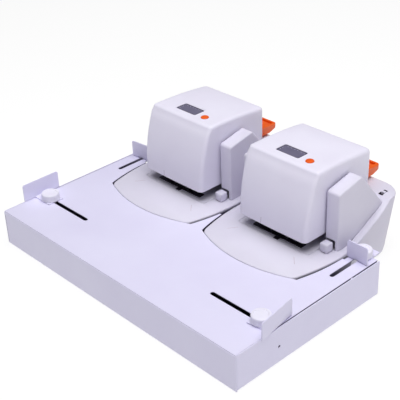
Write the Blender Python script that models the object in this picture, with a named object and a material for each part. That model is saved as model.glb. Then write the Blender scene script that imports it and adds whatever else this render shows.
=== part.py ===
"""Twin-head electric flat-clinch stapler: two stapling heads in a folded steel tray with four paper stops.

Metres, +Z up, +Y to the back. The tray is modelled from its front left corner, and one empty
moves the whole model so that the origin lies under the middle of its outer box.
"""
import math

import bmesh
import bpy
from mathutils import Vector

# General
GAP = 0.0003  # between pieces that touch
OVERRUN = 0.004  # how far a cutter runs past a face
ROUND_STEPS = 20
SMALL_ROUND_STEPS = 12
ARC_STEPS = 4
SMOOTH_ANGLE = math.radians(35)

# Tray
TRAY_WIDTH = 0.500
TRAY_DEPTH = 0.282
TRAY_HEIGHT = 0.058
SHEET = 0.0015
BEND_RADIUS = 0.003  # outside of a fold
DESK_CLEARANCE = 0.0015  # tray floor above the desk
EDGE_LINE = 0.0013  # open line between the top sheet and a side wall
EDGE_LINE_FRONT = 0.062  # where that line starts
SIDE_SLOT_Y = 0.071
SIDE_SLOT_INSET = 0.0205  # from the tray's side to the slot's end
SIDE_SLOT_LENGTH = 0.096
REAR_SLOT_INSET = 0.0255
REAR_SLOT_FRONT = 0.207
REAR_SLOT_LENGTH = 0.0725
SLOT_WIDTH = 0.007
WALL_HOLE_Y = 0.078
WALL_HOLE_Z = 0.028
WALL_HOLE_RADIUS = 0.002
FOOT_RADIUS = 0.008
FOOT_INSET = 0.022
CUTOUT_CORNER_X = 0.0924  # half width of a head's cut-out at its front corner
CUTOUT_WIDEST_X = 0.1046
CUTOUT_WIDEST_Y = 0.252
CUTOUT_FRONT_GAP = 0.001
CUTOUT_STEP = 0.003  # the cut-out is wider behind its widest place
CUTOUT_STEPS = 6
TONGUE_END_Y = 0.221  # sheet between the two cut-outs ends here
TONGUE_HALF_WIDTH = 0.012

# Paper stops
SIDE_CLAMP_INSET = 0.0245  # clamp axis from the tray's side
LEFT_REAR_CLAMP_Y = 0.2725
RIGHT_REAR_CLAMP_Y = 0.2758
STOP_HEIGHT = 0.028
SIDE_STOP_LENGTH = 0.066
REAR_STOP_LENGTH = 0.035
REAR_STOP_SHIFT = 0.0032  # rear upright's middle, outwards from its clamp
SIDE_REACH = 0.0245  # clamp axis to the upright's face
REAR_REACH = 0.0166
STOP_FOOT_WIDTH = 0.027
STOP_FOOT_LENGTH = 0.038
STOP_CORNER = 0.003
CLAMP_HOLE_RADIUS = 0.0031
KNOB_RADIUS = 0.014
KNOB_FLANGE = 0.0005  # flange wider than the knob
KNOB_FLANGE_HEIGHT = 0.0012
KNOB_HEIGHT = 0.0105
KNOB_EDGE = 0.002
KNOB_DISH_RADIUS = 0.010
KNOB_DISH_DEPTH = 0.0006
SCREW_RADIUS = 0.0025
SCREW_LENGTH = 0.0065
NUT_WIDTH = 0.014
NUT_THICKNESS = 0.0035
NUT_NECK_RADIUS = 0.0032
RIGHT_SIDE_STOP_TURN = math.radians(8.5)
LEFT_REAR_STOP_TURN = math.radians(6)

# Heads
HEAD_CENTRES = {"left": 0.146, "right": 0.3545}

# Head base
BASE_FRONT_Y = 0.150
BASE_CORNER_X = 0.0873
BASE_CORNER_Y = 0.169
BASE_CORNER_CUT = 0.006
BASE_WIDEST_X = 0.1015
BASE_WIDEST_Y = 0.258
BASE_REAR_SIDE_X = 0.1005
BASE_REAR_Y = 0.397
BASE_REAR_RADIUS = 0.034
BASE_FRONT_STEPS = 6
BASE_CORNER_STEPS = 3
BASE_SIDE_STEPS = 14
BASE_REAR_STEPS = 5
DECK_Z = 0.060
HUMP_Z = 0.1055
RIDGE_FOOT_Y = 0.284  # the ridge's straight slope would leave the deck here
RIDGE_TOP_Y = 0.365
RIDGE_FOOT_BLEND = 0.025
RIDGE_TOP_BLEND = 0.008
BASE_LEAN = math.radians(9)  # walls lean in towards the bottom
BASE_RIM_RADIUS = 0.0022
BASE_BOTTOM_RADIUS = 0.009
BASE_WALL = 0.0025
BASE_CAVITY_INSET = 0.020
BASE_FOOT_RADIUS = 0.009
BASE_FOOT_X = 0.058
BASE_FOOT_Y = 0.345
WELL_FRONT_Y = 0.2575
WELL_REAR_Y = 0.3615
WELL_SINK = 0.0003

# Table panel, anvil and clincher
PANEL_LEFT_X = 0.069
PANEL_RIGHT_X = 0.066
PANEL_FRONT_Y = 0.2224
PANEL_REAR_Y = 0.352
PANEL_THICKNESS = 0.002
PANEL_SEAM = 0.0005
PANEL_LEDGE = 0.0012
PANEL_CORNER = 0.004
ANVIL_HALF_LENGTH = 0.047
ANVIL_FRONT_Y = 0.231
ANVIL_REAR_Y = 0.242
ANVIL_RISE = 0.0007
ANVIL_THICKNESS = 0.0045
ANVIL_NUB_X = 0.004
ANVIL_NUB_HALF_WIDTH = 0.004
ANVIL_NUB_LENGTH = 0.007
CLINCHER_HALF_LENGTH = 0.0175
CLINCHER_WIDTH = 0.005
CLINCHER_HEIGHT = 0.018
CLINCHER_SINK = 0.0012  # top below the anvil's face
POST_HALF_LENGTH = 0.026

# Chassis and pivot
CHASSIS_SHEET = 0.0025
CHASSIS_X = 0.0790  # outside of the uprights
CHASSIS_FLOOR_RISE = 0.0035
CHASSIS_FRONT_Y = 0.228
CHASSIS_FLANGE_Z = 0.030
UPRIGHT_FRONT_Y = 0.318
UPRIGHT_REAR_Y = 0.349
UPRIGHT_ABOVE_PIVOT = 0.0085
PIVOT_Y = 0.335
PIVOT_Z = 0.096
PIVOT_RADIUS = 0.005
PIVOT_HEAD_RADIUS = 0.0075
PIVOT_HEAD_LENGTH = 0.002
BEARING_GAP = 0.0003

# Depth stop
DEPTH_KNOB_X = 0.0775
DEPTH_KNOB_SIZE = 0.014
DEPTH_KNOB_FRONT_Y = 0.242
DEPTH_KNOB_EDGE = 0.002
DEPTH_STEM_WIDTH = 0.004
DEPTH_STEM_LENGTH = 0.008
DEPTH_TRAVEL = 0.025
STOP_BAR_Z = 0.052
STOP_BAR_THICKNESS = 0.002
STOP_BAR_LEFT_X = 0.036
STOP_BAR_WIDTH = 0.012
STOP_BAR_FRONT_Y = 0.244
STOP_TAB_X = 0.030
STOP_TAB_WIDTH = 0.006
STOP_TAB_Y = 0.262
STOP_TAB_THICKNESS = 0.0015
STOP_TAB_HEIGHT = 0.004
STOP_TAB_CLEARANCE = 0.0008

# Side housings
HOUSING_INNER_X = 0.0665
HOUSING_OUTER_X = 0.0905
HOUSING_FRONT_Y = 0.258
HOUSING_SHOULDER_Z = 0.150
HOUSING_PEAK_Y = 0.306
HOUSING_PEAK_Z = 0.160
HOUSING_REAR_Z = 0.1025
HOUSING_PROFILE_RADIUS = 0.008
HOUSING_EDGE = 0.0045
HOUSING_WALL = 0.0025
HOUSING_DOOR_GAP = 0.0015

# Head cover
COVER_BOTTOM_Z = 0.070
COVER_TOP_Z = 0.181
COVER_CROWN_Y = 0.262  # highest line of the top
COVER_REAR_DROP = 0.010
COVER_FRONT_Y = 0.2285
COVER_FRONT_LEAN = 0.0125
COVER_REAR_Y = 0.358
COVER_HALF_BOTTOM = 0.0595
COVER_HALF_TOP = 0.065
COVER_BULGE = 0.003  # front face, outwards in its middle
COVER_CORNER_BOTTOM = 0.014
COVER_CORNER_TOP = 0.009
COVER_REAR_CORNER = 0.009
COVER_EDGE = 0.006
COVER_WALL = 0.0025
COVER_LEVEL_SHARES = (0, 0.22, 0.44, 0.66, 0.85)
FRONT_LEAN_POWER = 2.2
SIDE_SWELL_POWER = 2
COVER_FRONT_STEPS = 5
COVER_SIDE_STEPS = 4
COVER_EDGE_STEPS = 3

# Display and button
DISPLAY_LEFT_X = -0.0262
DISPLAY_RIGHT_X = 0.0159
DISPLAY_FRONT_Y = 0.257
DISPLAY_REAR_Y = 0.2785
DISPLAY_CORNER = 0.003
DISPLAY_THICKNESS = 0.0015
DISPLAY_SINK = 0.0004
BUTTON_X = 0.033
BUTTON_Y = 0.262
BUTTON_RADIUS = 0.00625
BUTTON_RISE = 0.0012
BUTTON_TRAVEL = 0.0010
BUTTON_LENGTH = 0.007
BUTTON_EDGE = 0.0008
BUTTON_COLLAR = 0.0012
BUTTON_COLLAR_HEIGHT = 0.0015

# Head frame
FRAME_OUTER_X = 0.048
FRAME_SHEET = 0.002
FRAME_BOTTOM_Z = 0.076
FRAME_TOP_Z = 0.149
FRAME_FRONT_Y = 0.252
FRAME_REAR_Y = 0.352
RAIL_INNER_X = 0.0245  # rails at both sides of the cartridge
RAIL_BOTTOM_Z = 0.108

# Drive
TOOTH_MODULE = 0.002
PINION_TEETH = 8
GEAR_TEETH = 24
TIP_SHARE = 0.8
ROOT_SHARE = 1.15
TOOTH_SHARE = 0.40  # tooth width at the pitch circle, as a share of the pitch
TOOTH_TIP_SHARE = 0.18
TOOTH_ROOT_SHARE = 0.58
GEAR_START_X = 0.030
GEAR_WIDTH = 0.008
GEAR_ANGLE = math.radians(131.2)  # direction from the pinion to the gear, from +Y towards +Z
MOTOR_Y = 0.300
MOTOR_Z = 0.0905
MOTOR_RADIUS = 0.016
MOTOR_END_X = 0.024
MOTOR_BOSS_RADIUS = 0.006
MOTOR_BOSS_LENGTH = 0.003
MOTOR_EDGE = 0.002
MOTOR_SHAFT_RADIUS = 0.0015
AXLE_RADIUS = 0.003
CRANK_RADIUS = 0.006
CRANK_PIN_RADIUS = 0.003
CRANK_PIN_LENGTH = 0.006
YOKE_PLAY_SHARE = 0.30
YOKE_CLEARANCE = 0.0005
DRIVER_HALF_WIDTH = 0.014
DRIVER_FRONT_Y = 0.244
DRIVER_THICKNESS = 0.003
DRIVER_BOTTOM_Z = 0.084
DRIVER_ARM_THICKNESS = 0.003
DRIVER_ARM_BELOW = 0.0085
DRIVER_ARM_ABOVE = 0.0085
DRIVER_ARM_PAST_PIN = 0.014

# Staple cartridge
CARTRIDGE_HALF_WIDTH = 0.022
CARTRIDGE_FRONT_Y = 0.262
CARTRIDGE_BOTTOM_Z = 0.1085
CARTRIDGE_WALL = 0.002
CARTRIDGE_DOOR_CLEARANCE = 0.001
HANDLE_HALF_WIDTH = 0.0405
HANDLE_FRONT_Y = 0.3595
HANDLE_TIP_Y = 0.410
HANDLE_CORNER = 0.008
HANDLE_BOTTOM_Z = 0.1085
HANDLE_TIP_Z = 0.1145
HANDLE_LIP_Z = 0.119
HANDLE_ROOT_Z = 0.124
HANDLE_UNDERCUT_Y = 0.392
HANDLE_LIP = 0.004
HANDLE_GROOVE_WIDTH = 0.006
HANDLE_GROOVE_DEPTH = 0.004
HANDLE_GROOVE_MARGIN = 0.006

# Power switch and socket
SWITCH_X = 0.077
SWITCH_FRONT_Y = 0.3635
SWITCH_LENGTH = 0.0185
SWITCH_WIDTH = 0.0065
SWITCH_DEPTH = 0.003
SLIDER_LENGTH = 0.0085
SLIDER_RISE = 0.0008
SLIDER_START = 0.006
SOCKET_X = -0.045
SOCKET_WIDTH = 0.028
SOCKET_HEIGHT = 0.020
SOCKET_BOTTOM_Z = 0.045
SOCKET_FRONT_Y = 0.372
SOCKET_REAR_Y = 0.3945
SOCKET_WALL = 0.0025
SOCKET_RECESS = 0.015
SOCKET_CORNER = 0.003
SOCKET_PIN_WIDTH = 0.002
SOCKET_PIN_HEIGHT = 0.004
SOCKET_PIN_PITCH = 0.007
SOCKET_PIN_LENGTH = 0.012


def material(name, colour, roughness, metallic):
    """One Principled material, made once and then reused."""
    found = bpy.data.materials.get(name)
    if found:
        return found
    made = bpy.data.materials.new(name)
    made.use_nodes = True
    shader = made.node_tree.nodes["Principled BSDF"]
    shader.inputs["Base Color"].default_value = (*colour, 1)
    shader.inputs["Roughness"].default_value = roughness
    shader.inputs["Metallic"].default_value = metallic
    made.diffuse_color = (*colour, 1)
    return made


def painted():
    return material("tray_paint", (0.80, 0.78, 0.92), 0.45, 0)


def base_plastic():
    return material("base_plastic", (0.72, 0.70, 0.77), 0.5, 0)


def cover_plastic():
    return material("cover_plastic", (0.84, 0.83, 0.92), 0.42, 0)


def knob_plastic():
    return material("knob_plastic", (0.86, 0.85, 0.94), 0.4, 0)


def orange_plastic():
    return material("orange_plastic", (0.85, 0.20, 0.02), 0.4, 0)


def black_plastic():
    return material("black_plastic", (0.02, 0.018, 0.03), 0.45, 0)


def display_glass():
    return material("display_glass", (0.14, 0.13, 0.20), 0.25, 0)


def steel():
    return material("steel", (0.55, 0.55, 0.57), 0.35, 1)


def rubber():
    return material("rubber", (0.03, 0.03, 0.03), 0.8, 0)


def spaced(first, last, steps):
    """Evenly spaced values from first to last, both included."""
    return [first + (last - first) * step / steps for step in range(steps + 1)]


def curve(first, control, last, steps):
    """Points of a smooth bend from first to last, drawn towards control."""
    points = []
    for t in spaced(0, 1, steps):
        a, b, c = (1 - t) ** 2, 2 * t * (1 - t), t ** 2
        points.append(tuple(a * p + b * q + c * r for p, q, r in zip(first, control, last)))
    return points


def arc(centre, radius, start, end, steps):
    """Points of a circle's arc; angles run from the first axis to the second."""
    return [
        (centre[0] + radius * math.cos(angle), centre[1] + radius * math.sin(angle))
        for angle in spaced(start, end, steps)
    ]


def rounded(corners, radii, steps=ARC_STEPS):
    """An outline whose corners are drawn round; a radius of 0 keeps the corner sharp."""
    points = []
    for index, corner in enumerate(corners):
        radius = radii[index]
        here = Vector(corner)
        if not radius:
            points.append(tuple(here))
            continue
        back = (Vector(corners[index - 1]) - here).normalized()
        ahead = (Vector(corners[(index + 1) % len(corners)]) - here).normalized()
        reach = radius / math.tan(back.angle(ahead) / 2)
        middle = here + (back + ahead).normalized() * (radius / math.sin(back.angle(ahead) / 2))
        first = here + back * reach - middle
        last = here + ahead * reach - middle
        start = math.atan2(first.y, first.x)
        sweep = first.angle_signed(last)
        points += arc(middle, radius, start, start - sweep, steps)
    return points


def rectangle(left, right, front, rear):
    return [(left, front), (right, front), (right, rear), (left, rear)]


def rounded_rectangle(left, right, front, rear, radius):
    return rounded(rectangle(left, right, front, rear), [radius] * 4)


def on_axis(axis, point, height):
    """A 3-D place from an outline's point and its height along the axis."""
    first, second = point
    return {"X": (height, first, second), "Y": (first, height, second), "Z": (first, second, height)}[axis]


def loft(rings, pair_caps=False):
    """Skin through rings of equal length. Paired caps join mirrored points, so a cap may be crowned."""
    mesh = bmesh.new()
    rows = [[mesh.verts.new(point) for point in ring] for ring in rings]
    count = len(rows[0])
    for lower, upper in zip(rows, rows[1:]):
        for i in range(count):
            j = (i + 1) % count
            mesh.faces.new((lower[i], lower[j], upper[j], upper[i]))
    for row in (rows[0], rows[-1]):
        if not pair_caps:
            mesh.faces.new(row)
            continue
        mesh.faces.new((row[0], row[1], row[-1]))
        for i in range(1, count // 2):
            mesh.faces.new((row[i], row[i + 1], row[-i - 1], row[-i]))
    bmesh.ops.recalc_face_normals(mesh, faces=mesh.faces)
    return mesh


def prism(points, axis, start, end):
    """An outline drawn along an axis."""
    return loft([[on_axis(axis, point, height) for point in points] for height in (start, end)])


def box(low, high):
    return prism(rectangle(low[0], high[0], low[1], high[1]), "Z", low[2], high[2])


def turned(profile, axis="Z", centre=(0, 0), steps=ROUND_STEPS):
    """A solid of revolution. The profile lists (radius, height) and starts and ends on the axis."""
    mesh = bmesh.new()
    rows = []
    for radius, height in profile:
        if radius:
            ring = arc(centre, radius, 0, math.tau * (steps - 1) / steps, steps - 1)
        else:
            ring = [centre]
        rows.append([mesh.verts.new(on_axis(axis, point, height)) for point in ring])
    for lower, upper in zip(rows, rows[1:]):
        for i in range(steps):
            j = (i + 1) % steps
            if len(lower) == 1:
                mesh.faces.new((lower[0], upper[j], upper[i]))
            elif len(upper) == 1:
                mesh.faces.new((lower[i], lower[j], upper[0]))
            else:
                mesh.faces.new((lower[i], lower[j], upper[j], upper[i]))
    bmesh.ops.recalc_face_normals(mesh, faces=mesh.faces)
    return mesh


def rod(radius, axis, centre, start, end, steps=ROUND_STEPS):
    return turned([(0, start), (radius, start), (radius, end), (0, end)], axis, centre, steps)


def bevel_edges(mesh, width, segments, chosen):
    edges = [edge for edge in mesh.edges if chosen(edge)]
    bmesh.ops.bevel(mesh, geom=edges, offset=width, segments=segments, profile=0.5, affect="EDGES")
    return mesh


def place(name, mesh, look, parent, origin=(0, 0, 0), turn=0):
    """Makes the object. Its origin is at the given place, and the mesh is drawn in the parent's frame."""
    bmesh.ops.translate(mesh, verts=mesh.verts, vec=-Vector(origin))
    data = bpy.data.meshes.new(name)
    mesh.to_mesh(data)
    mesh.free()
    data.materials.append(look)
    data.shade_smooth()
    data.set_sharp_from_angle(angle=SMOOTH_ANGLE)
    made = bpy.data.objects.new(name, data)
    bpy.context.scene.collection.objects.link(made)
    made.parent = parent
    made.location = origin
    made.rotation_euler.z = turn
    return made


def empty(name, parent, location=(0, 0, 0), turn=0):
    made = bpy.data.objects.new(name, None)
    bpy.context.scene.collection.objects.link(made)
    made.parent = parent
    made.location = location
    made.rotation_euler.z = turn
    return made


def combine(target, mesh, operation):
    """Adds a solid to the target or cuts it away, in the frame of the target's parent."""
    count = len(target.modifiers)
    bmesh.ops.translate(mesh, verts=mesh.verts, vec=-target.location)
    data = bpy.data.meshes.new(f"{target.name}_shape_{count}")
    mesh.to_mesh(data)
    mesh.free()
    tool = bpy.data.objects.new(data.name, data)
    bpy.context.scene.collection.objects.link(tool)
    tool.parent = target
    tool.hide_render = True
    tool.display_type = "WIRE"
    step = target.modifiers.new(f"{operation.lower()}_{count}", "BOOLEAN")
    step.operation = operation
    step.solver = "EXACT"
    step.object = tool


def cut(target, mesh):
    combine(target, mesh, "DIFFERENCE")


def add(target, mesh):
    combine(target, mesh, "UNION")


# Tray


def tray_folds():
    """Side view of the top sheet: up the front, round the fold and back."""
    centre = (BEND_RADIUS, TRAY_HEIGHT - BEND_RADIUS)
    outside = arc(centre, BEND_RADIUS, math.pi, math.pi / 2, ARC_STEPS)
    inside = arc(centre, BEND_RADIUS - SHEET, math.pi / 2, math.pi, ARC_STEPS)
    return [
        (0, DESK_CLEARANCE),
        *outside,
        (TRAY_DEPTH, TRAY_HEIGHT),
        (TRAY_DEPTH, TRAY_HEIGHT - SHEET),
        *inside,
        (SHEET, DESK_CLEARANCE),
    ]


def pan_folds():
    """Front view of the pan: a floor between two side walls."""
    low = DESK_CLEARANCE
    right = TRAY_WIDTH - BEND_RADIUS
    height = low + BEND_RADIUS
    inner = BEND_RADIUS - SHEET
    return [
        (0, TRAY_HEIGHT),
        *arc((BEND_RADIUS, height), BEND_RADIUS, math.pi, math.pi * 3 / 2, ARC_STEPS),
        *arc((right, height), BEND_RADIUS, -math.pi / 2, 0, ARC_STEPS),
        (TRAY_WIDTH, TRAY_HEIGHT),
        (TRAY_WIDTH - SHEET, TRAY_HEIGHT),
        *arc((right, height), inner, 0, -math.pi / 2, ARC_STEPS),
        *arc((BEND_RADIUS, height), inner, math.pi * 3 / 2, math.pi, ARC_STEPS),
        (SHEET, TRAY_HEIGHT),
    ]


def slot_outline(middle, half_length, along_y):
    """Outline of a round-ended slot."""
    radius = SLOT_WIDTH / 2
    straight = half_length - radius
    if along_y:
        ends = [((middle[0], middle[1] + straight), 0), ((middle[0], middle[1] - straight), math.pi)]
    else:
        ends = [
            ((middle[0] + straight, middle[1]), -math.pi / 2),
            ((middle[0] - straight, middle[1]), math.pi / 2),
        ]
    points = []
    for centre, start in ends:
        points += arc(centre, radius, start, start + math.pi, ARC_STEPS)
    return points


def front_arc_y(x, gap=0):
    """Front edge of a head's base, or of its cut-out, at a distance x from the middle."""
    rise = BASE_CORNER_Y - BASE_FRONT_Y
    radius = (BASE_CORNER_X ** 2 + rise ** 2) / (2 * rise)
    return BASE_FRONT_Y - gap + radius - math.sqrt(radius ** 2 - x ** 2)


def cutout_outline(centre_x):
    """Opening in the top sheet for one head, open through the rear edge."""
    corner_y = front_arc_y(CUTOUT_CORNER_X, CUTOUT_FRONT_GAP)
    span = CUTOUT_WIDEST_Y - corner_y
    half = [(x, front_arc_y(x, CUTOUT_FRONT_GAP)) for x in spaced(0, CUTOUT_CORNER_X, CUTOUT_STEPS)]
    for y in spaced(corner_y, CUTOUT_WIDEST_Y, CUTOUT_STEPS)[1:]:
        fall = (CUTOUT_WIDEST_X - CUTOUT_CORNER_X) * ((CUTOUT_WIDEST_Y - y) / span) ** 2
        half.append((CUTOUT_WIDEST_X - fall, y))
    half.append((CUTOUT_WIDEST_X + CUTOUT_STEP, CUTOUT_WIDEST_Y))
    half.append((CUTOUT_WIDEST_X + CUTOUT_STEP, TRAY_DEPTH + OVERRUN))
    left = [(-x, y) for x, y in reversed(half[1:])]
    return [(centre_x + x, y) for x, y in half + left]


def make_tray(parent):
    top = place("tray_top", prism(tray_folds(), "X", 0, TRAY_WIDTH), painted(), parent)
    low = TRAY_HEIGHT - BEND_RADIUS - OVERRUN
    high = TRAY_HEIGHT + OVERRUN
    for start, gap in ((SHEET + GAP, GAP), (EDGE_LINE_FRONT, EDGE_LINE)):
        width = SHEET + gap
        rear = TRAY_DEPTH + OVERRUN
        cut(top, box((-OVERRUN, start, low), (width, rear, high)))
        cut(top, box((TRAY_WIDTH - width, start, low), (TRAY_WIDTH + OVERRUN, rear, high)))
    side_middle = SIDE_SLOT_INSET + SIDE_SLOT_LENGTH / 2
    rear_middle = REAR_SLOT_FRONT + REAR_SLOT_LENGTH / 2
    low = TRAY_HEIGHT - SHEET - OVERRUN
    for side_x, rear_x in (
        (side_middle, REAR_SLOT_INSET),
        (TRAY_WIDTH - side_middle, TRAY_WIDTH - REAR_SLOT_INSET),
    ):
        side_slot = slot_outline((side_x, SIDE_SLOT_Y), SIDE_SLOT_LENGTH / 2, False)
        rear_slot = slot_outline((rear_x, rear_middle), REAR_SLOT_LENGTH / 2, True)
        cut(top, prism(side_slot, "Z", low, high))
        cut(top, prism(rear_slot, "Z", low, high))
    for centre_x in HEAD_CENTRES.values():
        cut(top, prism(cutout_outline(centre_x), "Z", low, high))
    middle = sum(HEAD_CENTRES.values()) / len(HEAD_CENTRES)
    cut(top, box(
        (middle - TONGUE_HALF_WIDTH, TONGUE_END_Y, low),
        (middle + TONGUE_HALF_WIDTH, TRAY_DEPTH + OVERRUN, high),
    ))
    pan = place("tray_pan", prism(pan_folds(), "Y", SHEET + GAP, TRAY_DEPTH), painted(), parent)
    hole_start = TRAY_WIDTH - SHEET - OVERRUN
    cut(pan, rod(
        WALL_HOLE_RADIUS, "X", (WALL_HOLE_Y, WALL_HOLE_Z), hole_start, TRAY_WIDTH + OVERRUN, SMALL_ROUND_STEPS
    ))
    for row, y in (("front", FOOT_INSET), ("rear", TRAY_DEPTH - FOOT_INSET)):
        for side, x in (("left", FOOT_INSET), ("right", TRAY_WIDTH - FOOT_INSET)):
            pad = rod(FOOT_RADIUS, "Z", (x, y), 0, DESK_CLEARANCE - GAP)
            place(f"foot_{row}_{side}", pad, rubber(), parent)


# Paper stops


def make_stop(key, parent, clamp, turn, reach, length, shift):
    """One clamped stop: a nut in the slot, a bent bracket and a round knob with its screw.

    The bracket is drawn square, with its upright at the front, and then turned about the clamp.
    """
    origin = (clamp[0], clamp[1], TRAY_HEIGHT)
    seat = -SHEET - GAP
    half = NUT_WIDTH / 2
    nut = place(
        f"{key}_slide", box((-half, -half, seat - NUT_THICKNESS), (half, half, seat)), steel(), parent
    )
    nut.location = origin
    add(nut, rod_on(nut, NUT_NECK_RADIUS, seat - NUT_THICKNESS / 2, -GAP))
    low = seat - NUT_THICKNESS - OVERRUN
    cut(nut, rod_on(nut, SCREW_RADIUS + GAP, low, OVERRUN))

    front = -reach
    foot_top = GAP + SHEET
    top = GAP + STOP_HEIGHT
    bend = (front + BEND_RADIUS, GAP + BEND_RADIUS)
    fold = [
        (front, top),
        *arc(bend, BEND_RADIUS, math.pi, math.pi * 3 / 2, ARC_STEPS),
        (front + STOP_FOOT_LENGTH, GAP),
        (front + STOP_FOOT_LENGTH, foot_top),
        *arc(bend, BEND_RADIUS - SHEET, math.pi * 3 / 2, math.pi, ARC_STEPS),
        (front + SHEET, top),
    ]
    left = shift - length / 2
    right = shift + length / 2
    sheet = prism(fold, "X", left, right)
    tops = [v for v in sheet.verts if v.co.z > top - GAP]
    bevel_edges(sheet, STOP_CORNER, ARC_STEPS, lambda e: corner_edge(e, tops))
    bracket = place(f"{key}_bracket", sheet, painted(), parent)
    bracket.location = origin
    half = STOP_FOOT_WIDTH / 2
    behind = front + SHEET + GAP
    far = front + STOP_FOOT_LENGTH + OVERRUN
    cut(bracket, box_on(bracket, (left - OVERRUN, behind, -OVERRUN), (-half, far, top + OVERRUN)))
    cut(bracket, box_on(bracket, (half, behind, -OVERRUN), (right + OVERRUN, far, top + OVERRUN)))
    cut(bracket, rod_on(bracket, CLAMP_HOLE_RADIUS, -OVERRUN, foot_top + OVERRUN))
    bracket.rotation_euler.z = turn

    seat = foot_top + GAP
    flange = KNOB_RADIUS + KNOB_FLANGE
    crown = seat + KNOB_HEIGHT
    edge = arc((KNOB_RADIUS - KNOB_EDGE, crown - KNOB_EDGE), KNOB_EDGE, 0, math.pi / 2, ARC_STEPS)
    profile = [
        (0, seat - SCREW_LENGTH),
        (SCREW_RADIUS, seat - SCREW_LENGTH),
        (SCREW_RADIUS, seat),
        (flange, seat),
        (flange, seat + KNOB_FLANGE_HEIGHT),
        (KNOB_RADIUS, seat + KNOB_FLANGE_HEIGHT),
        *edge,
        (KNOB_DISH_RADIUS, crown),
        (KNOB_DISH_RADIUS - KNOB_DISH_DEPTH, crown - KNOB_DISH_DEPTH),
        (0, crown - KNOB_DISH_DEPTH),
    ]
    knob = place(f"{key}_knob", turned(profile), knob_plastic(), parent)
    knob.location = origin


def corner_edge(edge, tops):
    """True for the short edges through the sheet at the upright's top corners."""
    first, second = edge.verts
    across = abs((first.co - second.co).y)
    return first in tops and second in tops and abs(across - SHEET) < GAP


def box_on(target, low, high):
    """A box given about the target's own origin."""
    mesh = box(low, high)
    bmesh.ops.translate(mesh, verts=mesh.verts, vec=target.location)
    return mesh


def rod_on(target, radius, start, end):
    """An upright rod on the target's own axis."""
    mesh = rod(radius, "Z", (0, 0), start, end, SMALL_ROUND_STEPS)
    bmesh.ops.translate(mesh, verts=mesh.verts, vec=target.location)
    return mesh


def make_stops(parent):
    quarter = math.pi / 2
    right_side = TRAY_WIDTH - SIDE_CLAMP_INSET
    right_rear = TRAY_WIDTH - REAR_SLOT_INSET
    side = (SIDE_REACH, SIDE_STOP_LENGTH, 0)
    make_stop("side_left", parent, (SIDE_CLAMP_INSET, SIDE_SLOT_Y), -quarter, *side)
    make_stop("side_right", parent, (right_side, SIDE_SLOT_Y), quarter + RIGHT_SIDE_STOP_TURN, *side)
    rear = (REAR_REACH, REAR_STOP_LENGTH)
    make_stop(
        "rear_left", parent, (REAR_SLOT_INSET, LEFT_REAR_CLAMP_Y), LEFT_REAR_STOP_TURN, *rear, -REAR_STOP_SHIFT
    )
    make_stop("rear_right", parent, (right_rear, RIGHT_REAR_CLAMP_Y), 0, *rear, REAR_STOP_SHIFT)


# Head base


def ridge_z(y):
    """Height of the base's upper edge: level deck, straight slope and level hump, with soft bends."""
    slope = (HUMP_Z - DECK_Z) / (RIDGE_TOP_Y - RIDGE_FOOT_Y)
    height = min(max(DECK_Z + slope * (y - RIDGE_FOOT_Y), DECK_Z), HUMP_Z)
    for bend, blend, side in ((RIDGE_FOOT_Y, RIDGE_FOOT_BLEND, 1), (RIDGE_TOP_Y, RIDGE_TOP_BLEND, -1)):
        if abs(y - bend) < blend:
            height += side * slope * (blend - abs(y - bend)) ** 2 / (4 * blend)
    return height


def base_side_x(y):
    """Half width of the base's rim beside its straight rear."""
    if y < BASE_WIDEST_Y:
        share = (BASE_WIDEST_Y - y) / (BASE_WIDEST_Y - BASE_CORNER_Y)
        return BASE_WIDEST_X - (BASE_WIDEST_X - BASE_CORNER_X) * share ** 2
    share = (y - BASE_WIDEST_Y) / (BASE_REAR_Y - BASE_REAR_RADIUS - BASE_WIDEST_Y)
    return BASE_WIDEST_X - (BASE_WIDEST_X - BASE_REAR_SIDE_X) * share ** 2


def base_half_rim():
    """Right half of the base's rim, from the middle of the front to the straight rear."""
    arc_end = BASE_CORNER_X - BASE_CORNER_CUT
    side_start = BASE_CORNER_Y + BASE_CORNER_CUT
    side_end = BASE_REAR_Y - BASE_REAR_RADIUS
    first = (arc_end, front_arc_y(arc_end))
    last = (base_side_x(side_start), side_start)
    points = [(x, front_arc_y(x)) for x in spaced(0, arc_end, BASE_FRONT_STEPS)]
    points += curve(first, (BASE_CORNER_X, BASE_CORNER_Y), last, BASE_CORNER_STEPS)[1:]
    points += [(base_side_x(y), y) for y in spaced(side_start, side_end, BASE_SIDE_STEPS)[1:]]
    centre = (BASE_REAR_SIDE_X - BASE_REAR_RADIUS, side_end)
    points += arc(centre, BASE_REAR_RADIUS, 0, math.pi / 2, BASE_REAR_STEPS)[1:]
    return points


def mirrored(half):
    """Closes a half outline whose first point lies in the middle plane."""
    return half + [(-x, y) for x, y in reversed(half[1:])]


def base_ring(inset, height):
    """The rim drawn in by inset towards the base's middle. height(y) gives each point's Z."""
    middle = (BASE_FRONT_Y + BASE_REAR_Y) / 2
    across = 1 - inset / BASE_WIDEST_X
    along = 1 - inset / (BASE_REAR_Y - middle)
    rim = mirrored(base_half_rim())
    return [(x * across, middle + (y - middle) * along, height(y)) for x, y in rim]


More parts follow.
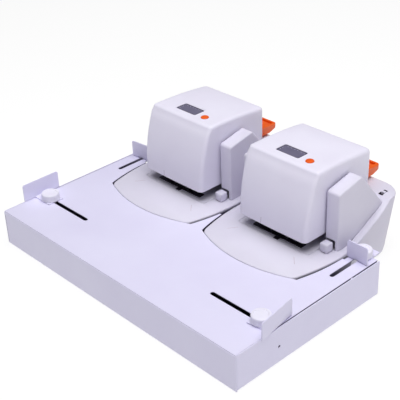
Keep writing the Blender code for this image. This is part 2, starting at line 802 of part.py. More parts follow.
def base_skin(bottom_z):
    """Rings from the rounded bottom up the leaning wall to the rounded rim."""
    lean = math.tan(BASE_LEAN)
    rings = []
    for angle in spaced(0, math.pi / 2, 3):
        inset = BASE_BOTTOM_RADIUS * (1 - math.sin(angle)) + lean * (DECK_Z - bottom_z)
        rise = BASE_BOTTOM_RADIUS * (1 - math.cos(angle))
        rings.append(base_ring(inset, lambda y, rise=rise: bottom_z + rise))
    for angle in spaced(0, math.pi / 2, 2):
        inset = BASE_RIM_RADIUS * (1 - math.cos(angle))
        fall = BASE_RIM_RADIUS * (1 - math.sin(angle))
        rings.append(base_ring(inset, lambda y, fall=fall: ridge_z(y) - fall))
    return loft(rings, pair_caps=True)


def base_bottom():
    """The heads stand on the tray's floor."""
    return DESK_CLEARANCE + SHEET + GAP


def well_floor():
    return DECK_Z - WELL_SINK


def make_base(prefix, parent):
    bottom = base_bottom()
    base = place(f"{prefix}_base", base_skin(bottom), base_plastic(), parent)
    floor = well_floor()
    well = HOUSING_OUTER_X + PANEL_SEAM
    high = HOUSING_PEAK_Z
    cut(base, box((-well, WELL_FRONT_Y, floor), (well, WELL_REAR_Y, high)))

    deck_under = floor - PANEL_THICKNESS - GAP - PANEL_THICKNESS
    inner = CHASSIS_X + GAP + BASE_WALL
    front = CHASSIS_FRONT_Y - BASE_CAVITY_INSET
    rear = BASE_REAR_Y - BASE_CAVITY_INSET
    cavity = rounded_rectangle(-inner, inner, front, rear, BASE_BOTTOM_RADIUS)
    cut(base, prism(cavity, "Z", bottom + BASE_WALL, deck_under))
    hump = rounded_rectangle(-inner, inner, WELL_REAR_Y + BASE_WALL, rear, BASE_WALL)
    cut(base, prism(hump, "Z", deck_under - GAP, HUMP_Z - SWITCH_DEPTH - BASE_WALL))

    seam = PANEL_SEAM
    recess = rounded_rectangle(
        -PANEL_LEFT_X - seam, PANEL_RIGHT_X + seam, PANEL_FRONT_Y - seam, PANEL_REAR_Y + seam, PANEL_CORNER
    )
    cut(base, prism(recess, "Z", floor - PANEL_THICKNESS - GAP, high))
    ledge = PANEL_LEDGE
    opening = rectangle(
        -PANEL_LEFT_X + ledge, PANEL_RIGHT_X - ledge, PANEL_FRONT_Y + ledge, PANEL_REAR_Y - ledge
    )
    cut(base, prism(opening, "Z", deck_under - OVERRUN, high))
    for side in (-1, 1):
        outer = side * (CHASSIS_X + GAP)
        inside = side * (CHASSIS_X - CHASSIS_SHEET - GAP)
        left, right = sorted((outer, inside))
        cut(base, box(
            (left, UPRIGHT_FRONT_Y - GAP, deck_under - OVERRUN), (right, UPRIGHT_REAR_Y + GAP, high)
        ))
    stem = DEPTH_STEM_WIDTH / 2 + GAP
    stem_front = depth_stem_y() - DEPTH_STEM_LENGTH / 2 - GAP
    stem_rear = stem_front + DEPTH_STEM_LENGTH + 2 * GAP + DEPTH_TRAVEL
    cut(base, box(
        (DEPTH_KNOB_X - stem, stem_front, deck_under - OVERRUN), (DEPTH_KNOB_X + stem, stem_rear, high)
    ))
    half = SWITCH_WIDTH / 2
    cut(base, box(
        (SWITCH_X - half, SWITCH_FRONT_Y, HUMP_Z - SWITCH_DEPTH),
        (SWITCH_X + half, SWITCH_FRONT_Y + SWITCH_LENGTH, high),
    ))
    half = SOCKET_WIDTH / 2 + GAP
    cut(base, box(
        (SOCKET_X - half, rear - OVERRUN, SOCKET_BOTTOM_Z - GAP),
        (SOCKET_X + half, BASE_REAR_Y + OVERRUN, SOCKET_BOTTOM_Z + SOCKET_HEIGHT + GAP),
    ))
    for side in (-1, 1):
        centre = (side * BASE_FOOT_X, BASE_FOOT_Y)
        add(base, rod(BASE_FOOT_RADIUS, "Z", centre, 0, bottom + BASE_WALL / 2, SMALL_ROUND_STEPS))


# Table panel, anvil and clincher


def anvil_outline(gap):
    """The black strip with its small nub at the front."""
    left = -ANVIL_HALF_LENGTH - gap
    right = ANVIL_HALF_LENGTH + gap
    front = ANVIL_FRONT_Y - gap
    rear = ANVIL_REAR_Y + gap
    nub_left = ANVIL_NUB_X - ANVIL_NUB_HALF_WIDTH - gap
    nub_right = ANVIL_NUB_X + ANVIL_NUB_HALF_WIDTH + gap
    nub_front = front - ANVIL_NUB_LENGTH
    return [
        (left, front),
        (nub_left, front),
        (nub_left, nub_front),
        (nub_right, nub_front),
        (nub_right, front),
        (right, front),
        (right, rear),
        (left, rear),
    ]


def anvil_top():
    return DECK_Z + ANVIL_RISE


def clincher_middle():
    return (ANVIL_FRONT_Y + ANVIL_REAR_Y) / 2


def stop_tab_slot(side):
    """Slot in the panel for one tab of the paper's depth stop, over its whole travel."""
    half = STOP_TAB_WIDTH / 2 + GAP
    middle = side * STOP_TAB_X
    return rectangle(
        middle - half,
        middle + half,
        STOP_TAB_Y - STOP_TAB_CLEARANCE,
        STOP_TAB_Y + STOP_TAB_THICKNESS + DEPTH_TRAVEL + STOP_TAB_CLEARANCE,
    )


def make_table(prefix, parent):
    outline = rounded_rectangle(-PANEL_LEFT_X, PANEL_RIGHT_X, PANEL_FRONT_Y, PANEL_REAR_Y, PANEL_CORNER)
    low = DECK_Z - PANEL_THICKNESS
    panel = place(f"{prefix}_table_panel", prism(outline, "Z", low, DECK_Z), base_plastic(), parent)
    below = low - OVERRUN
    above = DECK_Z + OVERRUN
    cut(panel, prism(anvil_outline(PANEL_SEAM), "Z", below, above))
    for side in (-1, 1):
        cut(panel, prism(stop_tab_slot(side), "Z", below, above))

    top = anvil_top()
    bottom = top - ANVIL_THICKNESS
    anvil = place(f"{prefix}_anvil", prism(anvil_outline(0), "Z", bottom, top), black_plastic(), parent)
    half_length = CLINCHER_HALF_LENGTH
    half_width = CLINCHER_WIDTH / 2
    middle = clincher_middle()
    cut(anvil, box(
        (-half_length - GAP, middle - half_width - GAP, bottom - OVERRUN),
        (half_length + GAP, middle + half_width + GAP, top + OVERRUN),
    ))

    head = top - CLINCHER_SINK
    bar = box(
        (-half_length, middle - half_width, head - CLINCHER_HEIGHT), (half_length, middle + half_width, head)
    )
    place(f"{prefix}_clincher", bar, steel(), parent, origin=(0, middle, head))


# Chassis and pivot


def chassis_floor():
    return base_bottom() + BASE_WALL + GAP


def make_chassis(prefix, parent):
    """Folded frame under the table: low flanges in front, tall uprights for the pivot at the rear."""
    low = chassis_floor()
    inner = CHASSIS_X - CHASSIS_SHEET
    high = PIVOT_Z + UPRIGHT_ABOVE_PIVOT
    section = [
        (-CHASSIS_X, high),
        (-CHASSIS_X, low),
        (CHASSIS_X, low),
        (CHASSIS_X, high),
        (inner, high),
        (inner, low + CHASSIS_SHEET),
        (-inner, low + CHASSIS_SHEET),
        (-inner, high),
    ]
    frame = prism(section, "Y", CHASSIS_FRONT_Y, UPRIGHT_REAR_Y)
    chassis = place(f"{prefix}_chassis", frame, steel(), parent)
    cut(chassis, box(
        (-CHASSIS_X - OVERRUN, CHASSIS_FRONT_Y - OVERRUN, CHASSIS_FLANGE_Z),
        (CHASSIS_X + OVERRUN, UPRIGHT_FRONT_Y, high + OVERRUN),
    ))
    cut(chassis, rod(
        PIVOT_RADIUS + BEARING_GAP, "X", (PIVOT_Y, PIVOT_Z), -CHASSIS_X - OVERRUN, CHASSIS_X + OVERRUN
    ))
    top = anvil_top() - ANVIL_THICKNESS - GAP
    post = POST_HALF_LENGTH
    add(chassis, box(
        (-post, ANVIL_FRONT_Y, low + CHASSIS_SHEET / 2), (post, ANVIL_REAR_Y, top)
    ))
    half_width = CLINCHER_WIDTH / 2 + GAP
    half_length = CLINCHER_HALF_LENGTH + GAP
    middle = clincher_middle()
    guide_floor = anvil_top() - CLINCHER_SINK - CLINCHER_HEIGHT - GAP
    cut(chassis, box(
        (-half_length, middle - half_width, guide_floor), (half_length, middle + half_width, top + OVERRUN)
    ))

    end = CHASSIS_X + GAP
    shaft = turned(
        [
            (0, -end - PIVOT_HEAD_LENGTH),
            (PIVOT_HEAD_RADIUS, -end - PIVOT_HEAD_LENGTH),
            (PIVOT_HEAD_RADIUS, -end),
            (PIVOT_RADIUS, -end),
            (PIVOT_RADIUS, end),
            (PIVOT_HEAD_RADIUS, end),
            (PIVOT_HEAD_RADIUS, end + PIVOT_HEAD_LENGTH),
            (0, end + PIVOT_HEAD_LENGTH),
        ],
        "X",
        (PIVOT_Y, PIVOT_Z),
    )
    place(f"{prefix}_pivot_shaft", shaft, steel(), parent)


# Depth stop


def depth_stem_y():
    return DEPTH_KNOB_FRONT_Y + DEPTH_KNOB_SIZE / 2


def make_depth_stop(prefix, parent):
    """Cube-shaped knob on the table and the bar below it, whose tabs stop the paper."""
    half = DEPTH_KNOB_SIZE / 2
    seat = DECK_Z + GAP
    middle = depth_stem_y()
    cube = box(
        (DEPTH_KNOB_X - half, middle - half, seat), (DEPTH_KNOB_X + half, middle + half, seat + 2 * half)
    )
    bevel_edges(cube, DEPTH_KNOB_EDGE, 2, lambda edge: max(v.co.z for v in edge.verts) > seat)
    knob = place(f"{prefix}_depth_knob", cube, base_plastic(), parent)
    half_x = DEPTH_STEM_WIDTH / 2
    half_y = DEPTH_STEM_LENGTH / 2
    add(knob, box(
        (DEPTH_KNOB_X - half_x, middle - half_y, STOP_BAR_Z + STOP_BAR_THICKNESS + GAP),
        (DEPTH_KNOB_X + half_x, middle + half_y, seat + half),
    ))

    top = STOP_BAR_Z + STOP_BAR_THICKNESS
    outline = [
        (-STOP_BAR_LEFT_X, STOP_TAB_Y - STOP_BAR_WIDTH / 2),
        (DEPTH_KNOB_X - half_x, STOP_TAB_Y - STOP_BAR_WIDTH / 2),
        (DEPTH_KNOB_X - half_x, STOP_BAR_FRONT_Y),
        (DEPTH_KNOB_X + half_x, STOP_BAR_FRONT_Y),
        (DEPTH_KNOB_X + half_x, STOP_TAB_Y + STOP_BAR_WIDTH / 2),
        (-STOP_BAR_LEFT_X, STOP_TAB_Y + STOP_BAR_WIDTH / 2),
    ]
    bar = place(f"{prefix}_paper_stop", prism(outline, "Z", STOP_BAR_Z, top), steel(), parent)
    half = STOP_TAB_WIDTH / 2
    for side in (-1, 1):
        add(bar, box(
            (side * STOP_TAB_X - half, STOP_TAB_Y, top - STOP_BAR_THICKNESS / 2),
            (side * STOP_TAB_X + half, STOP_TAB_Y + STOP_TAB_THICKNESS, DECK_Z + STOP_TAB_HEIGHT),
        ))


# Side housings


def housing_profile(inset, bottom):
    """Side view of a housing: upright front, slope up to a peak and a long slope down to the hump."""
    front = HOUSING_FRONT_Y + inset
    rear = WELL_REAR_Y - PANEL_SEAM - inset
    shoulder = HOUSING_SHOULDER_Z - inset
    peak = HOUSING_PEAK_Z - inset
    end = HOUSING_REAR_Z - inset
    corners = [(front, bottom), (rear, bottom), (rear, end), (HOUSING_PEAK_Y, peak), (front, shoulder)]
    radius = HOUSING_PROFILE_RADIUS
    return rounded(corners, [0, 0, 0, radius, radius])


def make_housing(prefix, parent, side, with_door):
    name = "right" if side > 0 else "left"
    seat = well_floor() + GAP
    start, end = sorted((side * HOUSING_INNER_X, side * HOUSING_OUTER_X))
    solid = prism(housing_profile(0, seat), "X", start, end)
    rear = WELL_REAR_Y - PANEL_SEAM

    def along_profile(edge):
        first, second = (vertex.co for vertex in edge.verts)
        level = abs(first.x - second.x) < GAP
        raised = max(first.z, second.z) > seat + GAP
        return level and raised and min(first.y, second.y) < rear - GAP

    bevel_edges(solid, HOUSING_EDGE, 3, along_profile)
    housing = place(f"{prefix}_housing_{name}", solid, base_plastic(), parent)
    wall = HOUSING_WALL
    cut(housing, prism(housing_profile(wall, seat - OVERRUN), "X", start + wall, end - wall))
    inner = side * HOUSING_INNER_X
    start, end = sorted((inner - side * OVERRUN, inner + side * (wall + OVERRUN)))
    cut(housing, rod(PIVOT_RADIUS + BEARING_GAP, "X", (PIVOT_Y, PIVOT_Z), start, end))
    if with_door:
        half = DEPTH_KNOB_SIZE / 2 + HOUSING_DOOR_GAP
        cut(housing, box(
            (DEPTH_KNOB_X - half, HOUSING_FRONT_Y - OVERRUN, seat - OVERRUN),
            (DEPTH_KNOB_X + half, HOUSING_FRONT_Y + wall + OVERRUN, DECK_Z + 2 * half),
        ))


# Head cover


def crown_z(y):
    """Height of the cover's crowned top."""
    share = (y - COVER_CROWN_Y) / (COVER_REAR_Y - COVER_CROWN_Y)
    return COVER_TOP_Z - COVER_REAR_DROP * share ** 2


def cover_ring(share, inset, height):
    """Outline of the cover at a share of its height, drawn in by inset. height(y) gives each Z."""
    half_width = COVER_HALF_TOP - (COVER_HALF_TOP - COVER_HALF_BOTTOM) * (1 - share) ** SIDE_SWELL_POWER
    half_width -= inset
    front = COVER_FRONT_Y + COVER_FRONT_LEAN * share ** FRONT_LEAN_POWER + inset
    rear = COVER_REAR_Y - inset
    radius = COVER_CORNER_BOTTOM + (COVER_CORNER_TOP - COVER_CORNER_BOTTOM) * share - inset
    rear_radius = COVER_REAR_CORNER - inset
    flat = half_width - radius
    half = []
    for x in spaced(0, flat, COVER_FRONT_STEPS):
        half.append((x, front - COVER_BULGE * (1 - (x / flat) ** 2)))
    half += arc((flat, front + radius), radius, -math.pi / 2, 0, ARC_STEPS)[1:]
    side_end = rear - rear_radius
    half += [(half_width, y) for y in spaced(front + radius, side_end, COVER_SIDE_STEPS)[1:]]
    half += arc((half_width - rear_radius, side_end), rear_radius, 0, math.pi / 2, ARC_STEPS)[1:]
    return [(x, y, height(y)) for x, y in mirrored(half)]


def level_height(share, fall=0):
    """Height function of a level: from the cover's bottom edge to its crown."""
    return lambda y: COVER_BOTTOM_Z + share * (crown_z(y) - COVER_BOTTOM_Z) - fall


def cover_skin():
    """One closed shell: up the inside, round the bottom edge and up the outside to the crown."""
    outside = [cover_ring(share, 0, level_height(share)) for share in COVER_LEVEL_SHARES]
    for angle in spaced(0, math.pi / 2, COVER_EDGE_STEPS):
        inset = COVER_EDGE * (1 - math.cos(angle))
        fall = COVER_EDGE * (1 - math.sin(angle))
        outside.append(cover_ring(1, inset, level_height(1, fall)))
    wall = COVER_WALL
    inside = [cover_ring(share, wall, level_height(share)) for share in COVER_LEVEL_SHARES[::2]]
    inside.append(cover_ring(1, wall, level_height(1, COVER_EDGE)))
    inside.append(cover_ring(1, COVER_EDGE, level_height(1, wall)))
    return loft(inside[::-1] + outside, pair_caps=True)


def make_cover(prefix, parent, origin):
    cover = place(f"{prefix}_head_cover", cover_skin(), cover_plastic(), parent, origin)
    gap = GAP
    seat = display_top() - DISPLAY_THICKNESS - gap
    outline = rounded_rectangle(
        DISPLAY_LEFT_X - gap, DISPLAY_RIGHT_X + gap, DISPLAY_FRONT_Y - gap, DISPLAY_REAR_Y + gap, DISPLAY_CORNER
    )
    above = COVER_TOP_Z + OVERRUN
    cut(cover, prism(outline, "Z", seat, above))
    cut(cover, rod(BUTTON_RADIUS + gap, "Z", (BUTTON_X, BUTTON_Y), crown_z(BUTTON_Y) - OVERRUN, above))
    reach = COVER_HALF_TOP + OVERRUN
    cut(cover, rod(PIVOT_RADIUS + BEARING_GAP, "X", (PIVOT_Y, PIVOT_Z), -reach, reach))
    half = CARTRIDGE_HALF_WIDTH + CARTRIDGE_DOOR_CLEARANCE
    cut(cover, box(
        (-half, COVER_REAR_Y - COVER_WALL - OVERRUN, CARTRIDGE_BOTTOM_Z - CARTRIDGE_DOOR_CLEARANCE),
        (half, COVER_REAR_Y + OVERRUN, cartridge_top() + CARTRIDGE_DOOR_CLEARANCE),
    ))


def display_top():
    return crown_z(DISPLAY_REAR_Y) - DISPLAY_SINK


def make_display(prefix, parent, origin):
    top = display_top()
    outline = rounded_rectangle(
        DISPLAY_LEFT_X, DISPLAY_RIGHT_X, DISPLAY_FRONT_Y, DISPLAY_REAR_Y, DISPLAY_CORNER
    )
    pane = prism(outline, "Z", top - DISPLAY_THICKNESS, top)
    place(f"{prefix}_display", pane, display_glass(), parent, origin)


def make_button(prefix, parent):
    """Round button with a collar that keeps it in the cover."""
    surface = crown_z(BUTTON_Y)
    top = surface + BUTTON_RISE
    collar = surface - COVER_WALL - GAP - BUTTON_COLLAR
    bottom = top - BUTTON_LENGTH
    radius = BUTTON_RADIUS
    edge = BUTTON_EDGE
    profile = [
        (0, bottom),
        (radius + BUTTON_COLLAR, bottom),
        (radius + BUTTON_COLLAR, min(bottom + BUTTON_COLLAR_HEIGHT, collar)),
        (radius, min(bottom + BUTTON_COLLAR_HEIGHT, collar)),
        *arc((radius - edge, top - edge), edge, 0, math.pi / 2, 2),
        (0, top),
    ]
    button = turned(profile, centre=(BUTTON_X, BUTTON_Y))
    place(f"{prefix}_start_button", button, orange_plastic(), parent, (BUTTON_X, BUTTON_Y, surface))


# Head frame and drive


def gear_centre():
    """Axis of the drive gear, from the motor's shaft along the line of centres."""
    distance = TOOTH_MODULE * (PINION_TEETH + GEAR_TEETH) / 2
    return (MOTOR_Y + distance * math.cos(GEAR_ANGLE), MOTOR_Z + distance * math.sin(GEAR_ANGLE))


def make_frame(prefix, parent, origin):
    """Folded frame inside the cover: two side plates, a top and two rails for the cartridge."""
    outer = FRAME_OUTER_X
    inner = outer - FRAME_SHEET
    rail = RAIL_INNER_X
    rail_out = rail + FRAME_SHEET
    top = FRAME_TOP_Z
    under = top - FRAME_SHEET
    half = [
        (rail, under),
        (rail, RAIL_BOTTOM_Z),
        (rail_out, RAIL_BOTTOM_Z),
        (rail_out, under),
        (inner, under),
        (inner, FRAME_BOTTOM_Z),
        (outer, FRAME_BOTTOM_Z),
        (outer, top),
    ]
    section = half + [(-x, z) for x, z in reversed(half)]
    frame = place(
        f"{prefix}_head_frame", prism(section, "Y", FRAME_FRONT_Y, FRAME_REAR_Y), steel(), parent, origin
    )
    reach = outer + OVERRUN
    cut(frame, rod(PIVOT_RADIUS + BEARING_GAP, "X", (PIVOT_Y, PIVOT_Z), -reach, reach))
    cut(frame, rod(
        AXLE_RADIUS + BEARING_GAP, "X", gear_centre(), rail - FRAME_SHEET / 2, rail_out + FRAME_SHEET / 2,
        SMALL_ROUND_STEPS,
    ))


def gear_outline(teeth, centre, turn):
    """Tooth outline with straight flanks, as (y, z) points."""
    pitch = TOOTH_MODULE * teeth / 2
    tip = pitch + TOOTH_MODULE * TIP_SHARE
    root = pitch - TOOTH_MODULE * ROOT_SHARE
    step = math.tau / teeth
    places = (
        (root, -TOOTH_ROOT_SHARE / 2),
        (pitch, -TOOTH_SHARE / 2),
        (tip, -TOOTH_TIP_SHARE / 2),
        (tip, TOOTH_TIP_SHARE / 2),
        (pitch, TOOTH_SHARE / 2),
        (root, TOOTH_ROOT_SHARE / 2),
    )
    points = []
    for tooth in range(teeth):
        for radius, share in places:
            angle = turn + (tooth + share) * step
            points.append((centre[0] + radius * math.cos(angle), centre[1] + radius * math.sin(angle)))
    return points


def make_drive(prefix, parent):
    """Motor, pinion, and the drive gear with its axle and crank pin."""
    start = GEAR_START_X
    end = start + GEAR_WIDTH
    motor_axis = (MOTOR_Y, MOTOR_Z)
    left = -FRAME_OUTER_X + FRAME_SHEET + GAP
    radius = MOTOR_RADIUS
    can = turned(
        [
            (0, left),
            (radius - MOTOR_EDGE, left),
            (radius, left + MOTOR_EDGE),
            (radius, MOTOR_END_X - MOTOR_EDGE),
            (radius - MOTOR_EDGE, MOTOR_END_X),
            (MOTOR_BOSS_RADIUS, MOTOR_END_X),
            (MOTOR_BOSS_RADIUS, MOTOR_END_X + MOTOR_BOSS_LENGTH),
            (0, MOTOR_END_X + MOTOR_BOSS_LENGTH),
        ],
        "X",
        motor_axis,
    )
    place(f"{prefix}_motor", can, steel(), parent, (0, *motor_axis))

    facing = GEAR_ANGLE + math.pi / PINION_TEETH
    pinion = place(
        f"{prefix}_motor_pinion",
        prism(gear_outline(PINION_TEETH, motor_axis, facing), "X", start, end),
        steel(),
        parent,
        (0, *motor_axis),
    )
    shaft_start = MOTOR_END_X + MOTOR_BOSS_LENGTH + GAP
    add(pinion, rod(
        MOTOR_SHAFT_RADIUS, "X", motor_axis, shaft_start, start + GEAR_WIDTH / 2, SMALL_ROUND_STEPS
    ))

    centre = gear_centre()
    gear = place(
        f"{prefix}_drive_gear",
        prism(gear_outline(GEAR_TEETH, centre, GEAR_ANGLE + math.pi), "X", start, end),
        steel(),
        parent,
        (0, *centre),
    )
    axle_start = RAIL_INNER_X
    add(gear, rod(AXLE_RADIUS, "X", centre, axle_start, start + GEAR_WIDTH / 2, SMALL_ROUND_STEPS))
    pin = (centre[0], centre[1] + CRANK_RADIUS)
    pin_end = end + CRANK_PIN_LENGTH
    add(gear, rod(CRANK_PIN_RADIUS, "X", pin, start + GEAR_WIDTH / 2, pin_end, SMALL_ROUND_STEPS))


def make_driver(prefix, parent):
    """Blade that drives the staple, with an arm whose window rides on the gear's crank pin."""
    gear_y, gear_z = gear_centre()
    pin_z = gear_z + CRANK_RADIUS
    front = DRIVER_FRONT_Y
    back = front + DRIVER_THICKNESS
    left = -DRIVER_HALF_WIDTH
    arm = GEAR_START_X + GEAR_WIDTH + GAP
    right = arm + DRIVER_ARM_THICKNESS
    end = gear_y + DRIVER_ARM_PAST_PIN
    outline = [(left, front), (right, front), (right, end), (arm, end), (arm, back), (left, back)]
    low = pin_z - DRIVER_ARM_BELOW
    high = pin_z + DRIVER_ARM_ABOVE
    driver = place(
        f"{prefix}_driver", prism(outline, "Z", low, high), steel(), parent, (0, front, DRIVER_BOTTOM_Z)
    )
    add(driver, box((left, front, DRIVER_BOTTOM_Z), (DRIVER_HALF_WIDTH, back, (low + high) / 2)))
    half_y = CRANK_RADIUS + CRANK_PIN_RADIUS + YOKE_CLEARANCE
    half_z = CRANK_PIN_RADIUS + CRANK_RADIUS * YOKE_PLAY_SHARE + YOKE_CLEARANCE
    cut(driver, box(
        (arm - OVERRUN, gear_y - half_y, pin_z - half_z), (right + OVERRUN, gear_y + half_y, pin_z + half_z)
    ))


# Staple cartridge


def cartridge_top():
    return FRAME_TOP_Z - FRAME_SHEET - GAP


def handle_profile():
    """Side view of the handle: undercut below, round tip, raised lip and a rising upper face."""
    corners = [
        (HANDLE_FRONT_Y, HANDLE_BOTTOM_Z),
        (HANDLE_UNDERCUT_Y, HANDLE_BOTTOM_Z),
        (HANDLE_TIP_Y, HANDLE_TIP_Z),
        (HANDLE_TIP_Y, HANDLE_LIP_Z),
        (HANDLE_TIP_Y - HANDLE_LIP, HANDLE_LIP_Z),
        (HANDLE_FRONT_Y, HANDLE_ROOT_Z),
    ]
    return rounded(corners, [0, HANDLE_LIP, BUTTON_EDGE, BUTTON_EDGE, 0, 0])


def make_cartridge(prefix, parent):
    """Staple magazine open on top, with the wide orange pull behind the cover."""
    half = CARTRIDGE_HALF_WIDTH
    low = CARTRIDGE_BOTTOM_Z
    top = cartridge_top()
    magazine = box((-half, CARTRIDGE_FRONT_Y, low), (half, HANDLE_FRONT_Y + CARTRIDGE_WALL, top))
    origin = (0, HANDLE_FRONT_Y, low)
    cartridge = place(f"{prefix}_cartridge", magazine, orange_plastic(), parent, origin)
    wall = CARTRIDGE_WALL
    cut(cartridge, box(
        (-half + wall, CARTRIDGE_FRONT_Y + wall, low + wall), (half - wall, HANDLE_FRONT_Y - wall, top + OVERRUN)
    ))
    wide = HANDLE_HALF_WIDTH
    pull = prism(handle_profile(), "X", -wide, wide)

    def upright_corner(edge):
        first, second = (vertex.co for vertex in edge.verts)
        behind = min(first.y, second.y) > HANDLE_UNDERCUT_Y
        return behind and abs(first.x - second.x) < GAP and first.y > HANDLE_TIP_Y - BUTTON_EDGE

    add(cartridge, pull)
    margin = HANDLE_GROOVE_MARGIN
    rear = HANDLE_TIP_Y - HANDLE_LIP
    cut(cartridge, box(
        (-wide + margin, rear - HANDLE_GROOVE_WIDTH, HANDLE_LIP_Z - HANDLE_GROOVE_DEPTH),
        (wide - margin, rear, HANDLE_ROOT_Z + OVERRUN),
    ))
    corner = HANDLE_CORNER
    for side in (-1, 1):
        centre = (side * (wide - corner), HANDLE_TIP_Y - corner)
        tip = [(side * (wide + OVERRUN), HANDLE_TIP_Y + OVERRUN), (centre[0], HANDLE_TIP_Y + OVERRUN)]
        angles = (math.pi / 2, 0) if side > 0 else (math.pi / 2, math.pi)
        tip += arc(centre, corner, *angles, ARC_STEPS)
        tip.append((side * (wide + OVERRUN), centre[1]))
        cut(cartridge, prism(tip, "Z", low - OVERRUN, HANDLE_ROOT_Z + OVERRUN))


# Power switch and socket


def make_power_parts(prefix, parent):
    half = SWITCH_WIDTH / 2 - GAP
    front = SWITCH_FRONT_Y + SLIDER_START
    low = HUMP_Z - SWITCH_DEPTH + GAP
    slider = box(
        (SWITCH_X - half, front, low), (SWITCH_X + half, front + SLIDER_LENGTH, HUMP_Z + SLIDER_RISE)
    )
    place(f"{prefix}_power_switch", slider, base_plastic(), parent, (SWITCH_X, front, low))

    half = SOCKET_WIDTH / 2
    low = SOCKET_BOTTOM_Z
    high = low + SOCKET_HEIGHT
    left = SOCKET_X - half
    right = SOCKET_X + half
    socket = place(
        f"{prefix}_power_socket",
        box((left, SOCKET_FRONT_Y, low), (right, SOCKET_REAR_Y, high)),
        black_plastic(),
        parent,
    )
    wall = SOCKET_WALL
    recess = [
        (left + wall, low + wall),
        (right - wall, low + wall),
        (right - wall, high - wall - SOCKET_CORNER),
        (right - wall - SOCKET_CORNER, high - wall),
        (left + wall + SOCKET_CORNER, high - wall),
        (left + wall, high - wall - SOCKET_CORNER),
    ]
    cut(socket, prism(recess, "Y", SOCKET_REAR_Y - SOCKET_RECESS, SOCKET_REAR_Y + OVERRUN))
    middle = low + SOCKET_HEIGHT / 2
    for place_share in (-1, 0, 1):
        x = SOCKET_X + place_share * SOCKET_PIN_PITCH
        half_x = SOCKET_PIN_WIDTH / 2
        half_z = SOCKET_PIN_HEIGHT / 2
        start = SOCKET_REAR_Y - SOCKET_RECESS
        add(socket, box(
            (x - half_x, start - wall, middle - half_z), (x + half_x, start + SOCKET_PIN_LENGTH, middle + half_z)
        ))


def make_head(side, parent, centre_x):
    """One stapling head. Its fixed pieces hang on the head's place, the moving ones on the pivot."""
    spot = empty(f"{side}_head_place", parent, (centre_x, 0, 0))
    make_base(side, spot)
    make_table(side, spot)
    make_chassis(side, spot)
    make_depth_stop(side, spot)
    make_housing(side, spot, -1, False)
    make_housing(side, spot, 1, True)
    make_power_parts(side, spot)
    pivot = (0, PIVOT_Y, PIVOT_Z)
    make_cover(side, spot, pivot)
    make_frame(side, spot, pivot)
    make_display(side, spot, pivot)
    make_button(side, spot)
    make_drive(side, spot)
    make_driver(side, spot)
    make_cartridge(side, spot)


def model_middle():
    """Middle of the model's outer box, seen from above."""
    turn = math.pi / 2 + RIGHT_SIDE_STOP_TURN
    corner = Vector((-SIDE_STOP_LENGTH / 2, -SIDE_REACH))
    reach = corner.x * math.cos(turn) - corner.y * math.sin(turn)
    right = TRAY_WIDTH - SIDE_CLAMP_INSET + reach
    return (right / 2, HANDLE_TIP_Y / 2)


def main():
    for found in list(bpy.data.objects):
        bpy.data.objects.remove(found, do_unlink=True)
    middle = model_middle()
    station = empty("station", None, (-middle[0], -middle[1], 0))
    make_tray(station)
    make_stops(station)
    for side, centre_x in HEAD_CENTRES.items():
        make_head(side, station, centre_x)


main()
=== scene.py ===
"""The looks of a twin electric stapler on its tray: finishes, closer forms, details, light and camera."""

import math

import bmesh
import bpy
from mathutils import Matrix, Vector
from mathutils.bvhtree import BVHTree

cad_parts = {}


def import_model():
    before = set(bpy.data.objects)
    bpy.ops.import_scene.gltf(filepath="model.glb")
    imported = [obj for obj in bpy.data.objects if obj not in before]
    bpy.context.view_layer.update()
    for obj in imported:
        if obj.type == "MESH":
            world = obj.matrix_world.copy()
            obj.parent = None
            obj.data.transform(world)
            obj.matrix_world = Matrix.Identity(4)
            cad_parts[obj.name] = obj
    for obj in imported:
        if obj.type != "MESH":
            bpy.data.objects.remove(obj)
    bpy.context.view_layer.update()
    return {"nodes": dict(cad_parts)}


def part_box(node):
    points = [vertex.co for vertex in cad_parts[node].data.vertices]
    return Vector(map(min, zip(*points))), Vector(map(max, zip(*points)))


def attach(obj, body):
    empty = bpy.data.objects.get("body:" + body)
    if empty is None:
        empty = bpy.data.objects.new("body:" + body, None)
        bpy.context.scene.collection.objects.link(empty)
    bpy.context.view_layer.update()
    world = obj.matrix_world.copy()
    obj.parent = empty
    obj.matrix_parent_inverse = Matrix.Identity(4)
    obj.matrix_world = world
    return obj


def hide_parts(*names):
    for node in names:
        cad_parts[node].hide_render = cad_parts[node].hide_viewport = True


MM = 0.001

# Camera, solved from the edges of the tray and the heads in the photograph
CAMERA_PLACE = (0.8891, -0.8362, 0.8011)
CAMERA_AZIMUTH = 47.6839
CAMERA_ELEVATION = 30.1989
CAMERA_ROLL = -2.4263
CAMERA_LENS = 86.125
SENSOR_WIDTH = 36.0
CLIP_NEAR = 0.05
CLIP_FAR = 60.0

# Studio
FLOOR_SIZE = 24.0
FLOOR_DROP = 0.2 * MM
FLOOR_COLOUR = (0.20, 0.20, 0.20, 1.0)
FLOOR_GLOW = 0.82
FLOOR_ROUGHNESS = 0.9
WHITE = (1.0, 1.0, 1.0, 1.0)
WORLD_STRENGTH = 0.14
WALL_STRENGTH = 0.88  # the white wall behind the floor, as it is seen
SOFT_BOXES = {  # place, the point each looks at, width and height in metres, power in watts
    "top_light": ((0.25, -0.12, 2.2), (0, 0, 0), 2.0, 2.0, 52.0),
    "side_light": ((2.1, -0.5, 0.9), (0, 0, 0.05), 1.6, 1.2, 4.6),
}

# Rounding of the frame's sharp edges
WELD_DISTANCE = 0.002 * MM
SMOOTH_ANGLE = math.radians(32)
BEVEL_ANGLE = math.radians(34)
BEVEL_SEGMENTS = 2
ROUND_PROFILE = 0.5  # a bevel that is part of a circle

# The standard curve between a colour as the eye reads it and a shader's linear values
EYE_WHITE = 255
EYE_OFFSET = 0.055
EYE_POWER = 2.4

